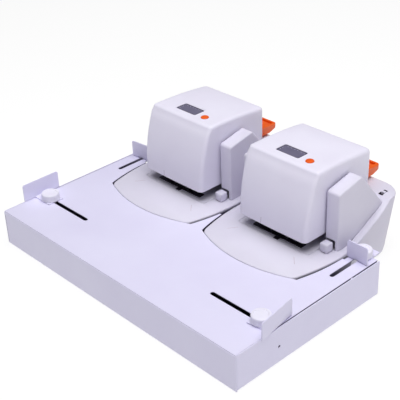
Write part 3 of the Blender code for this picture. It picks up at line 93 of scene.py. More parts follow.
# Which finish each kind of node takes, and how wide its edges are rounded, in metres
NODE_FINISHES = {
    "tray_top": ("tray_paint", 0.35 * MM),
    "tray_pan": ("tray_paint", 0.35 * MM),
    "foot": ("rubber_black", 0.5 * MM),
    "slide": ("steel", 0.2 * MM),
    "bracket": ("tray_paint", 0.25 * MM),
    "knob": ("knob_plastic", 0.4 * MM),
    "base": ("base_plastic", 0.5 * MM),
    "chassis": ("steel", 0.2 * MM),
    "table_panel": ("base_plastic", 0.2 * MM),
    "anvil": ("black_plastic", 0.2 * MM),
    "clincher": ("steel", 0.15 * MM),
    "depth_knob": ("base_plastic", 0.7 * MM),
    "paper_stop": ("steel", 0.15 * MM),
    "housing_left": ("base_plastic", 0.8 * MM),
    "housing_right": ("base_plastic", 0.8 * MM),
    "pivot_shaft": ("steel", 0.3 * MM),
    "head_cover": ("cover_plastic", 0.4 * MM),
    "head_frame": ("steel", 0.2 * MM),
    "display": ("display_window", 0.1 * MM),
    "start_button": ("orange_plastic", 0.3 * MM),
    "motor": ("steel", 0.4 * MM),
    "motor_pinion": ("steel", 0.1 * MM),
    "drive_gear": ("steel", 0.1 * MM),
    "driver": ("steel", 0.1 * MM),
    "cartridge": ("orange_plastic", 0.3 * MM),
    "power_switch": ("base_plastic", 0.25 * MM),
    "power_socket": ("black_plastic", 0.25 * MM),
}


def linear(red, green, blue):
    """A colour as the eye reads it, 0 to 255, as the linear values of a shader."""
    shares = (value / EYE_WHITE for value in (red, green, blue))
    return (*(((share + EYE_OFFSET) / (1 + EYE_OFFSET)) ** EYE_POWER for share in shares), 1.0)


# Each finish: two close colours that it drifts between and the size of the drift, its roughness from and
# to, the size and depth of its grain, metal, coat and how much light it carries under its skin
FINISHES = {
    "tray_paint": dict(
        colours=(linear(227, 224, 248), linear(222, 218, 244)), drift=0.09,
        roughness=(0.40, 0.52), grain=0.9 * MM, depth=0.012 * MM, coat=0.10,
    ),
    "base_plastic": dict(
        colours=(linear(220, 217, 233), linear(215, 211, 228)), drift=0.06,
        roughness=(0.46, 0.60), grain=0.45 * MM, depth=0.018 * MM, under=0.03,
    ),
    "cover_plastic": dict(
        colours=(linear(234, 231, 247), linear(230, 226, 243)), drift=0.07,
        roughness=(0.38, 0.50), grain=0.40 * MM, depth=0.012 * MM, under=0.03,
    ),
    "knob_plastic": dict(
        colours=(linear(236, 234, 248), linear(231, 228, 244)), drift=0.02,
        roughness=(0.34, 0.46), grain=0.35 * MM, depth=0.010 * MM, under=0.03,
    ),
    "orange_plastic": dict(
        colours=(linear(241, 100, 14), linear(233, 88, 8)), drift=0.02,
        roughness=(0.30, 0.42), grain=0.35 * MM, depth=0.010 * MM, under=0.05,
    ),
    "black_plastic": dict(
        colours=(linear(44, 38, 52), linear(36, 31, 44)), drift=0.02,
        roughness=(0.40, 0.55), grain=0.30 * MM, depth=0.015 * MM,
    ),
    "rubber_black": dict(
        colours=(linear(40, 38, 42), linear(30, 29, 33)), drift=0.01,
        roughness=(0.75, 0.90), grain=0.30 * MM, depth=0.030 * MM,
    ),
    "display_window": dict(
        colours=(linear(112, 108, 134), linear(102, 98, 124)), drift=0.015,
        roughness=(0.12, 0.18), grain=2.0 * MM, depth=0.002 * MM, coat=0.6,
    ),
    "steel": dict(
        colours=(linear(186, 187, 192), linear(164, 166, 173)), drift=0.012,
        roughness=(0.26, 0.42), grain=0.25 * MM, depth=0.006 * MM, metal=1.0, brushed=0.12,
    ),
    "mark_ink": dict(
        colours=(linear(196, 168, 180), linear(176, 160, 176)), drift=0.004,
        roughness=(0.45, 0.60), grain=0.20 * MM, depth=0.004 * MM,
    ),
    "line_ink": dict(
        colours=(linear(146, 140, 158), linear(132, 126, 146)), drift=0.004,
        roughness=(0.45, 0.60), grain=0.20 * MM, depth=0.004 * MM,
    ),
    "seam_shade": dict(
        colours=(linear(104, 98, 122), linear(92, 86, 110)), drift=0.004,
        roughness=(0.55, 0.70), grain=0.20 * MM, depth=0.004 * MM,
    ),
    "window_ink": dict(
        colours=(linear(184, 180, 198), linear(170, 166, 186)), drift=0.003,
        roughness=(0.30, 0.42), grain=0.20 * MM, depth=0.003 * MM,
    ),
    "window_border": dict(
        colours=(linear(76, 71, 92), linear(68, 64, 84)), drift=0.006,
        roughness=(0.16, 0.26), grain=0.40 * MM, depth=0.004 * MM, coat=0.4,
    ),
}

# Second colours that some nodes take within a box, and where those boxes lie
# painted shade: the dark colour inside the tray and on the bases below its sheet, where little light reaches
TRAY_PAINTED_SHADE = linear(112, 104, 136)
MAGAZINE_GREY = linear(78, 76, 84)
PIN_METAL = linear(196, 190, 176)
SKIN_SHARE = 0.8 * MM  # how deep the outer colour reaches into the tray's sheet
UNDER_SHEET = 3.0 * MM  # from the tray's top to where its shade on the bases starts
HANDLE_DEPTH = 50.6 * MM  # the orange pull, at the cartridge's rear
PINS_HALF_WIDTH = 8.1 * MM
PIN_HALF_HEIGHT = 2.1 * MM
PINS_START = 4.6 * MM  # from the socket's front face to where the pins stand free

# Noise, bump and the light under a skin
NOISE_LOW = 0.3  # the middle of a noise, where nearly all of its values lie
NOISE_HIGH = 0.7
GRAIN_DETAIL = 3.0
DRIFT_DETAIL = 4.0
BUMP_STRENGTH = 0.6
UNDER_RADIUS = (1.2 * MM, 1.0 * MM, 1.1 * MM)


def link(tree, source, target):
    """Joins two sockets of a node tree."""
    tree.links.new(source, target)


def noise(tree, place, size, detail):
    """Noise whose lumps are about that many metres across."""
    node = tree.nodes.new("ShaderNodeTexNoise")
    node.inputs["Scale"].default_value = 1 / size
    node.inputs["Detail"].default_value = detail
    link(tree, place, node.inputs["Vector"])
    return node.outputs["Fac"]


def spread(tree, value, low, high):
    """The middle of a noise stretched over low to high."""
    node = tree.nodes.new("ShaderNodeMapRange")
    node.inputs["From Min"].default_value = NOISE_LOW
    node.inputs["From Max"].default_value = NOISE_HIGH
    node.inputs["To Min"].default_value = low
    node.inputs["To Max"].default_value = high
    link(tree, value, node.inputs["Value"])
    return node.outputs["Result"]


def combine(tree, operation, first, second):
    """One step of arithmetic on a value and another value or a number."""
    node = tree.nodes.new("ShaderNodeMath")
    node.operation = operation
    link(tree, first, node.inputs[0])
    if isinstance(second, float):
        node.inputs[1].default_value = second
    else:
        link(tree, second, node.inputs[1])
    return node.outputs["Value"]


def within(tree, place, low, high):
    """1 inside a box and 0 outside it. A bound of None leaves that side open."""
    split = tree.nodes.new("ShaderNodeSeparateXYZ")
    link(tree, place, split.inputs["Vector"])
    tests = []
    for axis, near, far in zip("XYZ", low, high):
        if near is not None:
            tests.append(combine(tree, "GREATER_THAN", split.outputs[axis], float(near)))
        if far is not None:
            tests.append(combine(tree, "LESS_THAN", split.outputs[axis], float(far)))
    result = tests[0]
    for test in tests[1:]:
        result = combine(tree, "MULTIPLY", result, test)
    return result


def finish(name, zone=None):
    """The material of one finish, made once and then reused.

    A zone has its own name, a second colour, its metal share and the box that it fills.
    """
    label = f"look_{name}_{zone[0]}" if zone else f"look_{name}"
    if label in bpy.data.materials:
        return bpy.data.materials[label]
    facts = FINISHES[name]
    made = bpy.data.materials.new(label)
    made.use_nodes = True
    tree = made.node_tree
    shader = tree.nodes["Principled BSDF"]
    place = tree.nodes.new("ShaderNodeTexCoord").outputs["Object"]
    grained = place
    if facts.get("brushed"):
        stretch = tree.nodes.new("ShaderNodeMapping")
        stretch.inputs["Scale"].default_value = (facts["brushed"], 1, 1)
        link(tree, place, stretch.inputs["Vector"])
        grained = stretch.outputs["Vector"]

    blend = tree.nodes.new("ShaderNodeMix")
    blend.data_type = "RGBA"
    blend.inputs["A"].default_value, blend.inputs["B"].default_value = facts["colours"]
    drift = noise(tree, place, facts["drift"], DRIFT_DETAIL)
    link(tree, spread(tree, drift, 0, 1), blend.inputs["Factor"])
    colour = blend.outputs["Result"]
    if zone:
        _, second, metal, (low, high) = zone
        mask = within(tree, place, low, high)
        swap = tree.nodes.new("ShaderNodeMix")
        swap.data_type = "RGBA"
        swap.inputs["B"].default_value = second
        link(tree, mask, swap.inputs["Factor"])
        link(tree, colour, swap.inputs["A"])
        colour = swap.outputs["Result"]
        if metal:
            link(tree, mask, shader.inputs["Metallic"])
    link(tree, colour, shader.inputs["Base Color"])

    grain = noise(tree, grained, facts["grain"], GRAIN_DETAIL)
    link(tree, spread(tree, grain, *facts["roughness"]), shader.inputs["Roughness"])
    bump = tree.nodes.new("ShaderNodeBump")
    bump.inputs["Strength"].default_value = BUMP_STRENGTH
    bump.inputs["Distance"].default_value = facts["depth"]
    link(tree, grain, bump.inputs["Height"])
    link(tree, bump.outputs["Normal"], shader.inputs["Normal"])

    if not (zone and zone[2]):
        shader.inputs["Metallic"].default_value = facts.get("metal", 0)
    shader.inputs["Coat Weight"].default_value = facts.get("coat", 0)
    if facts.get("under"):
        shader.inputs["Subsurface Weight"].default_value = facts["under"]
        shader.inputs["Subsurface Radius"].default_value = UNDER_RADIUS
    return made


def smoothing():
    """A modifier group that joins the frame's loose facets and shades them smooth up to the sharp edges."""
    if "soft_facets" in bpy.data.node_groups:
        return bpy.data.node_groups["soft_facets"]
    group = bpy.data.node_groups.new("soft_facets", "GeometryNodeTree")
    group.interface.new_socket("Geometry", in_out="INPUT", socket_type="NodeSocketGeometry")
    group.interface.new_socket("Geometry", in_out="OUTPUT", socket_type="NodeSocketGeometry")
    nodes = group.nodes
    entry, leave = nodes.new("NodeGroupInput"), nodes.new("NodeGroupOutput")
    bare = nodes.new("GeometryNodeRemoveAttribute")
    bare.inputs["Name"].default_value = "custom_normal"
    weld = nodes.new("GeometryNodeMergeByDistance")
    weld.inputs["Distance"].default_value = WELD_DISTANCE
    faces = nodes.new("GeometryNodeSetShadeSmooth")
    faces.domain = "FACE"
    edges = nodes.new("GeometryNodeSetShadeSmooth")
    edges.domain = "EDGE"
    angle = nodes.new("GeometryNodeInputMeshEdgeAngle")
    gentle = nodes.new("FunctionNodeCompare")
    gentle.operation = "LESS_THAN"
    gentle.inputs["B"].default_value = SMOOTH_ANGLE
    group.links.new(entry.outputs["Geometry"], bare.inputs["Geometry"])
    group.links.new(bare.outputs["Geometry"], weld.inputs["Geometry"])
    group.links.new(weld.outputs["Geometry"], faces.inputs["Geometry"])
    group.links.new(faces.outputs["Geometry"], edges.inputs["Geometry"])
    group.links.new(angle.outputs["Unsigned Angle"], gentle.inputs["A"])
    group.links.new(gentle.outputs["Result"], edges.inputs["Shade Smooth"])
    group.links.new(edges.outputs["Geometry"], leave.inputs["Geometry"])
    return group


def soften(piece, width):
    """Rounds the sharp edges of a piece and shades the rest smooth."""
    facets = piece.modifiers.new("soft_facets", "NODES")
    facets.node_group = smoothing()
    rounding = piece.modifiers.new("rounded_edges", "BEVEL")
    rounding.width = width
    rounding.segments = BEVEL_SEGMENTS
    rounding.limit_method = "ANGLE"
    rounding.angle_limit = BEVEL_ANGLE
    rounding.harden_normals = True


def zone_of(name):
    """The part of a node that has another colour, or None; the tray's inside and the bases below it take
    painted shade.
    """
    sheet_low, sheet_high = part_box("tray_top")
    if name in ("tray_top", "tray_pan"):
        pan_low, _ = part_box("tray_pan")
        edge = SKIN_SHARE
        box = ((pan_low[0] + edge, sheet_low[1] + edge, pan_low[2] + edge),
               (sheet_high[0] - edge, None, sheet_high[2] - edge))
        # painted shade inside the tray's pan and sheet
        return ("inside", TRAY_PAINTED_SHADE, False, box)
    low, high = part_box(name)
    if name.endswith("_base"):
        box = ((None, None, None), (None, sheet_high[1], sheet_high[2] - UNDER_SHEET))
        # painted shade on the bases below the tray's sheet
        return ("painted_shade_in_tray", TRAY_PAINTED_SHADE, False, box)
    if name.endswith("cartridge"):
        box = ((None, None, None), (None, high[1] - HANDLE_DEPTH, None))
        return (name, MAGAZINE_GREY, False, box)
    if name.endswith("power_socket"):
        middle_x, middle_z = (low[0] + high[0]) / 2, (low[2] + high[2]) / 2
        box = ((middle_x - PINS_HALF_WIDTH, low[1] + PINS_START, middle_z - PIN_HALF_HEIGHT),
               (middle_x + PINS_HALF_WIDTH, None, middle_z + PIN_HALF_HEIGHT))
        return (name, PIN_METAL, True, box)
    return None


def node_look(name):
    """The finish of a frame node and how wide its edges are rounded."""
    return NODE_FINISHES[next(kind for kind in sorted(NODE_FINISHES, key=len, reverse=True) if kind in name)]


def dress_frame(nodes):
    """Gives every node of the frame its finish and rounded edges."""
    for name, node in nodes.items():
        look, width = node_look(name)
        for place in node.material_slots:
            place.material = finish(look, zone_of(name))
        soften(node, width)


# Printed marks: X from a head's middle, Y from the tray's front edge
MARK_WIDTH = 0.55 * MM
MARK_RISE = 0.05 * MM
MARK_SINK = 0.02 * MM
MARK_SLANT = 0.25  # of half the width, how far a mark's edges lean in
MARK_STEPS = 8
CAST_START = 0.4  # how far off a place on the frame is looked for
COVER_LINE_X = -19.0 * MM
COVER_LINE_LENGTH = 10.0 * MM
COVER_LINE_WIDTH = 0.6 * MM
TABLE_MARKS = (
    ((-65.8 * MM, 196.7 * MM), (-56.5 * MM, 210.0 * MM)),
    ((67.5 * MM, 193.8 * MM), (54.6 * MM, 207.1 * MM)),
)

# The display's border and dashes
DISPLAY_CORNER = 3.0 * MM
DISPLAY_CORNER_STEPS = 5
QUARTER_TURN = 90  # degrees
BORDER_WIDTH = 1.5 * MM
BORDER_RISE = 0.12 * MM
BORDER_PROFILE = (  # share of the border's width, height above the window
    (0, -MARK_SINK), (0.1, BORDER_RISE), (0.9, BORDER_RISE), (1, -MARK_SINK),
)
DASH_WIDTH = 0.7 * MM
DASH_INSET = 3.0 * MM
# Where each dash starts and ends, in millimetres along the window's rear edge and its left edge
REAR_DASHES = ((5.5, 9.0), (12.0, 14.5), (18.0, 21.5), (24.5, 27.0), (30.0, 33.5), (36.0, 38.0))
LEFT_DASHES = ((4.5, 8.0), (11.0, 13.0))

# The tray's joints: Y from the tray's front edge
SHEET_THICKNESS = 1.5 * MM
SEAM_INSET = 1.9 * MM  # the joint of the front sheet and the left wall, from the tray's left side
SEAM_WIDTH = 0.8 * MM
SEAM_LOW = 3.5 * MM
SEAM_TOP_MARGIN = 2.5 * MM
TACK_Y = 221.5 * MM  # the spot of weld
TACK_LENGTH = 4.0 * MM
TACK_WIDTH = 1.35 * MM
TACK_END_WIDTH = 0.8  # shares of the width: at the ends, and what the middle has more
TACK_SWELL_WIDTH = 0.2
TACK_RISE = 0.25 * MM
TACK_SINK = 0.1 * MM  # of its ends below the wall's top
TACK_DEPTH = 0.8 * MM
TACK_CROWN = 0.05 * MM
TACK_OVERLAP = 0.2 * MM  # over the wall
TACK_SHARES = (0, 0.15, 0.5, 0.85, 1)
FLANGE_INSET = 1.6 * MM
FLANGE_DROP = 2.2 * MM
FLANGE_WIDTH = 4.0 * MM
FLANGE_THICKNESS = 1.0 * MM
FLANGE_START_Y = 63.0 * MM
FLANGE_REAR_MARGIN = 1.0 * MM
SHEET_GAP_FRONT = 0.3 * MM  # added to the open line at the sheet's right edge
SHEET_GAP_REAR = 1.2 * MM


def face_tree(node):
    """The faces of a frame node, to find places on its surface."""
    mesh = node.data
    return BVHTree.FromPolygons(
        [vertex.co for vertex in mesh.vertices], [tuple(face.vertices) for face in mesh.polygons]
    )


def cast(tree, point, direction):
    """The place where the surface is met from a point, looking in a direction."""
    start = Vector(point) - Vector(direction) * CAST_START
    return tree.ray_cast(start, Vector(direction))[0]


def new_piece(name, mesh, look, body):
    """A piece from a mesh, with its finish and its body."""
    bmesh.ops.recalc_face_normals(mesh, faces=mesh.faces)
    data = bpy.data.meshes.new(name)
    mesh.to_mesh(data)
    mesh.free()
    data.shade_smooth()
    data.set_sharp_from_angle(angle=SMOOTH_ANGLE)
    data.materials.append(finish(look))
    piece = bpy.data.objects.new(name, data)
    bpy.context.scene.collection.objects.link(piece)
    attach(piece, body)
    return piece


def skin(mesh, rings, closed=False, crowned=False):
    """Skins rings of equal length, with caps unless the last ring meets the first.

    Crowned caps join mirrored points, so a cap may be curved.
    """
    rows = [[mesh.verts.new(point) for point in ring] for ring in rings]
    count = len(rows[0])
    pairs = list(zip(rows, rows[1:]))
    if closed:
        pairs.append((rows[-1], rows[0]))
    for near, far in pairs:
        for index in range(count):
            after = (index + 1) % count
            mesh.faces.new((near[index], near[after], far[after], far[index]))
    if closed:
        return
    for row in (rows[0], rows[-1]):
        if not crowned:
            mesh.faces.new(row)
            continue
        mesh.faces.new((row[0], row[1], row[-1]))
        for index in range(1, count // 2):
            mesh.faces.new((row[index], row[index + 1], row[-index - 1], row[-index]))


def printed_line(mesh, tree, start, end, width, direction):
    """A low strip with slanting edges that lies on the surface between two places."""
    start, end, direction = Vector(start), Vector(end), Vector(direction)
    across = (end - start).normalized().cross(direction) * (width / 2)
    rings = []
    for step in range(MARK_STEPS + 1):
        place = start.lerp(end, step / MARK_STEPS)
        left = cast(tree, place - across, direction)
        right = cast(tree, place + across, direction)
        if left is None or right is None:
            continue
        lift = direction * MARK_RISE
        sink = direction * MARK_SINK
        lean = across * MARK_SLANT
        rings.append([left + sink, left - lift + lean, right - lift - lean, right + sink])
    skin(mesh, rings)


def add_marks(side, cover_piece, base_piece, corner, middle):
    """The line on the cover's front and the two slanting marks on the table of one head."""
    cover = face_tree(cover_piece)
    mesh = bmesh.new()
    x = middle + COVER_LINE_X
    bottom = COVER_BOTTOM_Z + MARK_SINK
    top = bottom + COVER_LINE_LENGTH
    printed_line(mesh, cover, (x, 0, bottom), (x, 0, top), COVER_LINE_WIDTH, (0, 1, 0))
    new_piece(f"{side}_cover_line", mesh, "line_ink", f"{side}_head")

    base = face_tree(base_piece)
    mesh = bmesh.new()
    for ends in TABLE_MARKS:
        start, end = ((middle + x, corner[1] + y, 0) for x, y in ends)
        printed_line(mesh, base, start, end, MARK_WIDTH, (0, 0, -1))
    new_piece(f"{side}_table_marks", mesh, "mark_ink", "root")


def rounded_corners(left, right, front, rear, radius):
    """Points round a rectangle with round corners, anticlockwise from the right front corner."""
    points = []
    corners = ((right, front), (right, rear), (left, rear), (left, front))
    for index, (x, y) in enumerate(corners):
        centre_x = x - math.copysign(radius, x - (left + right) / 2)
        centre_y = y - math.copysign(radius, y - (front + rear) / 2)
        start = QUARTER_TURN * (index - 1)
        for step in range(DISPLAY_CORNER_STEPS + 1):
            angle = math.radians(start + QUARTER_TURN * step / DISPLAY_CORNER_STEPS)
            points.append((centre_x + radius * math.cos(angle), centre_y + radius * math.sin(angle)))
    return points


def add_display_trim(side):
    """The dark border of the display and the light dashes printed beside it."""
    low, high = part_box(f"{side}_display")
    top = high[2]
    mesh = bmesh.new()
    rings = []
    for inset, rise in BORDER_PROFILE:
        edge = inset * BORDER_WIDTH
        outline = rounded_corners(
            low[0] + edge, high[0] - edge, low[1] + edge, high[1] - edge, DISPLAY_CORNER - edge
        )
        rings.append([(x, y, top + rise) for x, y in outline])
    skin(mesh, rings, closed=True)
    new_piece(f"{side}_display_border", mesh, "window_border", f"{side}_head")

    mesh = bmesh.new()
    half = DASH_WIDTH / 2
    for start, end in REAR_DASHES:
        y = high[1] - DASH_INSET
        add_dash(mesh, low[0] + start * MM, low[0] + end * MM, y - half, y + half, top)
    for start, end in LEFT_DASHES:
        x = low[0] + DASH_INSET
        add_dash(mesh, x - half, x + half, low[1] + start * MM, low[1] + end * MM, top)
    new_piece(f"{side}_display_dashes", mesh, "window_ink", f"{side}_head")


def add_dash(mesh, left, right, front, rear, top):
    """One short raised dash with slanting edges."""
    slant = MARK_RISE
    rings = []
    for inset, rise in ((0, -MARK_SINK), (0, MARK_SINK), (slant, MARK_RISE)):
        rings.append([
            (left + inset, front + inset, top + rise),
            (right - inset, front + inset, top + rise),
            (right - inset, rear - inset, top + rise),
            (left + inset, rear - inset, top + rise),
        ])
    skin(mesh, rings)


def add_switch_recess_shade(side, corner):
    """A thin black sheet of painted shade inside the recess that the power switch slides in."""
    low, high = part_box(f"{side}_power_switch")
    middle = (low[0] + high[0]) / 2 + RECESS_SHIFT
    half = RECESS_SHADE_HALF - RECESS_SHADE_PLAY
    front = corner[1] + SWITCH_FRONT_Y + RECESS_SHADE_PLAY
    rear = corner[1] + SWITCH_FRONT_Y + RECESS_LENGTH - RECESS_SHADE_PLAY
    _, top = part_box(f"{side}_base")
    rim = top[2] - RECESS_SHADE_PLAY
    floor = rim - RECESS_SHADE_DEPTH
    rings = []
    for inset, height in ((0, floor), (0, rim), (RECESS_SHADE_WALL, rim), (RECESS_SHADE_WALL, floor + RECESS_SHADE_WALL)):
        rings.append([
            (middle - half + inset, front + inset, height),
            (middle + half - inset, front + inset, height),
            (middle + half - inset, rear - inset, height),
            (middle - half + inset, rear - inset, height),
        ])
    mesh = bmesh.new()
    skin(mesh, rings)
    new_piece(f"{side}_switch_liner", mesh, "black_plastic", "root")


def add_edge_tack(corner):
    """The spot of weld that holds the top sheet to the right wall."""
    _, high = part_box("tray_pan")
    inner = high[0] - SHEET_THICKNESS
    outer = inner + TACK_OVERLAP
    mesh = bmesh.new()
    rings = []
    for share in TACK_SHARES:
        y = corner[1] + TACK_Y + share * TACK_LENGTH
        swell = math.sin(math.pi * share)
        reach = TACK_WIDTH * (TACK_END_WIDTH + TACK_SWELL_WIDTH * swell)
        rise = high[2] - TACK_SINK + TACK_RISE * swell
        rings.append([
            (outer, y, rise - TACK_DEPTH),
            (outer, y, rise),
            (inner - reach / 2, y, rise + TACK_CROWN),
            (inner - reach, y, rise),
            (inner - reach, y, rise - TACK_DEPTH),
        ])
    skin(mesh, rings)
    new_piece("edge_tack", mesh, "tray_paint", "root")


def add_edge_flange(corner):
    """The flange of the right wall that lies under the sheet's open edge, dark with painted shade where the
    open line shows it.
    """
    _, wall_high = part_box("tray_pan")
    _, sheet_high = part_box("tray_top")
    right = wall_high[0] - FLANGE_INSET
    top = sheet_high[2] - FLANGE_DROP
    low = (right - FLANGE_WIDTH, corner[1] + FLANGE_START_Y, top - FLANGE_THICKNESS)
    high = (right, sheet_high[1] - FLANGE_REAR_MARGIN, top)
    new_piece("edge_flange", block(low, high), "seam_shade", "root")


def add_front_seam(nodes):
    """The joint line at the left end of the tray's front: a thin strip of painted shade for the gap between
    the front sheet and the left wall.
    """
    low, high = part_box("tray_top")
    tree = face_tree(nodes["tray_top"])
    x = low[0] + SEAM_INSET
    top = high[2] - SEAM_TOP_MARGIN
    mesh = bmesh.new()
    printed_line(mesh, tree, (x, 0, SEAM_LOW), (x, 0, top), SEAM_WIDTH, (0, 1, 0))
    new_piece("front_seam", mesh, "seam_shade", "root")


# Forms of a head that the photograph shows closer than the frame's solids: X from the head's middle, Y from
# the tray's front edge and Z from the desk
FIT_GAP = 0.3 * MM
OVERRUN = 4.0 * MM
CORNER_STEPS = 5
ROD_STEPS = 24
DECK_Z = 60.0 * MM

# Pivot, button and magazine, which the covers and housings have openings for
BUTTON_HOLE = 6.55 * MM
PIVOT_Y = 335.0 * MM
PIVOT_Z = 96.0 * MM
PIVOT_HOLE = 5.3 * MM
MAGAZINE_HALF_WIDTH = 22.0 * MM
MAGAZINE_CLEARANCE = 1.0 * MM
MAGAZINE_BOTTOM_Z = 108.5 * MM
MAGAZINE_TOP_Z = 146.7 * MM

# Cover
COVER_BOTTOM_Z = 78.5 * MM
COVER_TOP_Z = 181.0 * MM
COVER_CROWN_Y = 262.0 * MM  # highest line of the top
COVER_REAR_DROP = 7.0 * MM
COVER_CROSS_CROWN = 6.0 * MM  # the top's middle stands above its sides at the rear
CROSS_CROWN_Y = 279.0 * MM  # where that starts, behind the display
CROSS_CROWN_POWER = 1.4
COVER_FRONT_Y = 219.0 * MM
COVER_FRONT_LEAN = 22.5 * MM
FRONT_LEAN_POWER = 2.05
COVER_REAR_Y = 358.0 * MM
COVER_HALF_BOTTOM = 64.5 * MM
COVER_HALF_TOP = 65.5 * MM
SIDE_SWELL_POWER = 2
COVER_BULGE = 0.8 * MM  # front face, outwards in its middle
COVER_CORNER_BOTTOM = 7.5 * MM
COVER_CORNER_TOP = 6.0 * MM
COVER_REAR_CORNER = 7.0 * MM
COVER_EDGE = 5.0 * MM
COVER_WALL = 2.5 * MM
COVER_LEVEL_SHARES = (0, 0.26, 0.48, 0.66, 0.80, 0.91)
COVER_TOP_SHARES = (0.9, 0.7, 0.45, 0.2)
COVER_FRONT_STEPS = 5
COVER_SIDE_STEPS = 6
COVER_EDGE_STEPS = 4

# Housings, and the step of the hump behind each
HOUSING_INNER_X = 67.8 * MM
HOUSING_OUTER_X = 90.5 * MM
HOUSING_FRONT_Y = 258.0 * MM
HOUSING_SHOULDER_Z = 150.0 * MM
HOUSING_PEAK_Y = 306.0 * MM
HOUSING_PEAK_Z = 160.0 * MM
HOUSING_REAR_Y = 354.5 * MM
HOUSING_REAR_Z = 101.5 * MM
HOUSING_PROFILE_RADIUS = 4.5 * MM
HOUSING_EDGE = 2.2 * MM
HOUSING_EDGE_STEPS = 3
HOUSING_WALL = 2.2 * MM
KNOB_DOOR_GAP = 0.8 * MM  # round the cube knob
WELL_REAR_Y = 361.5 * MM
WELL_HALF_WIDTH = 91.3 * MM
STEP_SEAM = 0.5 * MM
STEP_EDGE = 0.1 * MM

# Base: its rising upper edge, and its rim, which leaves a fine joint to the tray
RIDGE_CHECK_X = 96.0 * MM  # where the frame's ridge is measured
RIDGE = (
    (255.6 * MM, 60.0 * MM), (269.0 * MM, 60.7 * MM), (282.4 * MM, 63.3 * MM), (295.9 * MM, 67.8 * MM),
    (309.3 * MM, 74.0 * MM), (322.7 * MM, 80.4 * MM), (336.1 * MM, 86.9 * MM), (349.6 * MM, 94.2 * MM),
    (363.0 * MM, 105.4 * MM),
)
FRONT_GROWTH = 0.8 * MM
FRONT_GROWTH_END = 215.0 * MM
FRONT_GROWTH_FADE = 40.0 * MM
SIDE_GROWTH = 0.8 * MM
SIDE_GROWTH_END = 290.0 * MM
SIDE_GROWTH_X = 60.0 * MM
SIDE_GROWTH_FADE = 20.0 * MM

# Power switch: the frame's recess, the photographed one, its slider and the thin black sheet of painted shade
# in the recess
RECESS_X = 77.0 * MM
RECESS_REACH = 4.0 * MM
RECESS_FRAME_Y = 363.5 * MM
RECESS_FRONT_Y = 363.2 * MM
RECESS_REAR_Y = 382.3 * MM
RECESS_FRAME_LENGTH = 18.5 * MM
RECESS_LENGTH = 14.3 * MM
RECESS_SHIFT = 4.5 * MM
SWITCH_FRONT_Y = 362.7 * MM
SWITCH_LOW_Z = 102.5 * MM
SLIDER_FRONT_Y = 368.5 * MM
SLIDER_LENGTH = 4.7 * MM
RECESS_SHADE_HALF = 3.25 * MM
RECESS_SHADE_WALL = 0.12 * MM
RECESS_SHADE_PLAY = 0.02 * MM
RECESS_SHADE_DEPTH = 2.95 * MM

# Pull of the cartridge: the frame's and the photographed one
HANDLE_FRONT_Y = 359.5 * MM
HANDLE_ROOT_Z = 125.0 * MM
HANDLE_FRAME_WIDTH = 40.5 * MM
HANDLE_WIDTH = 43.0 * MM
HANDLE_FRAME_LENGTH = 50.5 * MM
HANDLE_LENGTH = 54.5 * MM
HANDLE_LIFT = 1.5 * MM


def spaced(first, last, steps):
    """Evenly spaced values from first to last, both included."""
    return [first + (last - first) * step / steps for step in range(steps + 1)]


def arc(centre, radius, start, end, steps):
    """Points of a circle's arc."""
    return [
        (centre[0] + radius * math.cos(angle), centre[1] + radius * math.sin(angle))
        for angle in spaced(start, end, steps)
    ]


def rounded(corners, radii):
    """An outline whose corners are drawn round; a radius of 0 keeps the corner sharp."""
    points = []
    for index, corner in enumerate(corners):
        here, radius = Vector(corner), radii[index]
        if not radius:
            points.append(tuple(here))
            continue
        back = (Vector(corners[index - 1]) - here).normalized()
        ahead = (Vector(corners[(index + 1) % len(corners)]) - here).normalized()
        half_turn = back.angle(ahead) / 2
        middle = here + (back + ahead).normalized() * (radius / math.sin(half_turn))
        first = here + back * (radius / math.tan(half_turn)) - middle
        last = here + ahead * (radius / math.tan(half_turn)) - middle
        start = math.atan2(first.y, first.x)
        points += arc(middle, radius, start, start - first.angle_signed(last), CORNER_STEPS)
    return points


def prism(outline, axis, start, end):
    """A solid drawn from an outline along the X, Y or Z axis."""
    place = "XYZ".index(axis)
    rings = [[(*point[:place], height, *point[place:]) for point in outline] for height in (start, end)]
    mesh = bmesh.new()
    skin(mesh, rings)
    bmesh.ops.recalc_face_normals(mesh, faces=mesh.faces)
    return mesh


def block(low, high):
    """A box between two corners."""
    outline = [(low[0], low[1]), (high[0], low[1]), (high[0], high[1]), (low[0], high[1])]
    return prism(outline, "Z", low[2], high[2])


def disc(centre, radius):
    """The outline of a rod."""
    return arc(centre, radius, 0, 2 * math.pi, ROD_STEPS)[:-1]


def form(name, solid, cutters, body, move, look, width, replaced=None):
    """A solid with shapes cut out of it, moved to its place."""
    objects = []
    for mesh in (solid, *cutters):
        data = bpy.data.meshes.new(name)
        mesh.to_mesh(data)
        mesh.free()
        shape = bpy.data.objects.new(name, data)
        bpy.context.scene.collection.objects.link(shape)
        objects.append(shape)
    for cutter in objects[1:]:
        step = objects[0].modifiers.new("cut", "BOOLEAN")
        step.operation = "DIFFERENCE"
        step.solver = "EXACT"
        step.object = cutter
    graph = bpy.context.evaluated_depsgraph_get()
    result = bpy.data.meshes.new_from_object(objects[0].evaluated_get(graph))
    for shape in objects:
        bpy.data.objects.remove(shape)
    result.transform(Matrix.Translation(move))
    return dressed(name, result, finish(look), width, body, look, replaced)


def reshaped(name, node, change, body):
    """A piece with the shape of a frame node whose points are changed a little."""
    data = node.data.copy()
    for vertex in data.vertices:
        vertex.co = change(vertex.co.copy())
    look, width = node_look(node.name)
    return dressed(name, data, finish(look, zone_of(node.name)), width, body, look, node.name)


def dressed(name, data, material, width, body, record_slot, replaced):
    """Puts a mesh in the scene, and in place of a frame node if there is one."""
    data.name = name
    data.materials.clear()
    data.materials.append(material)
    piece = bpy.data.objects.new(name, data)
    bpy.context.scene.collection.objects.link(piece)
    soften(piece, width)
    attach(piece, body)
    if replaced:
        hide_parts(replaced)
    return piece


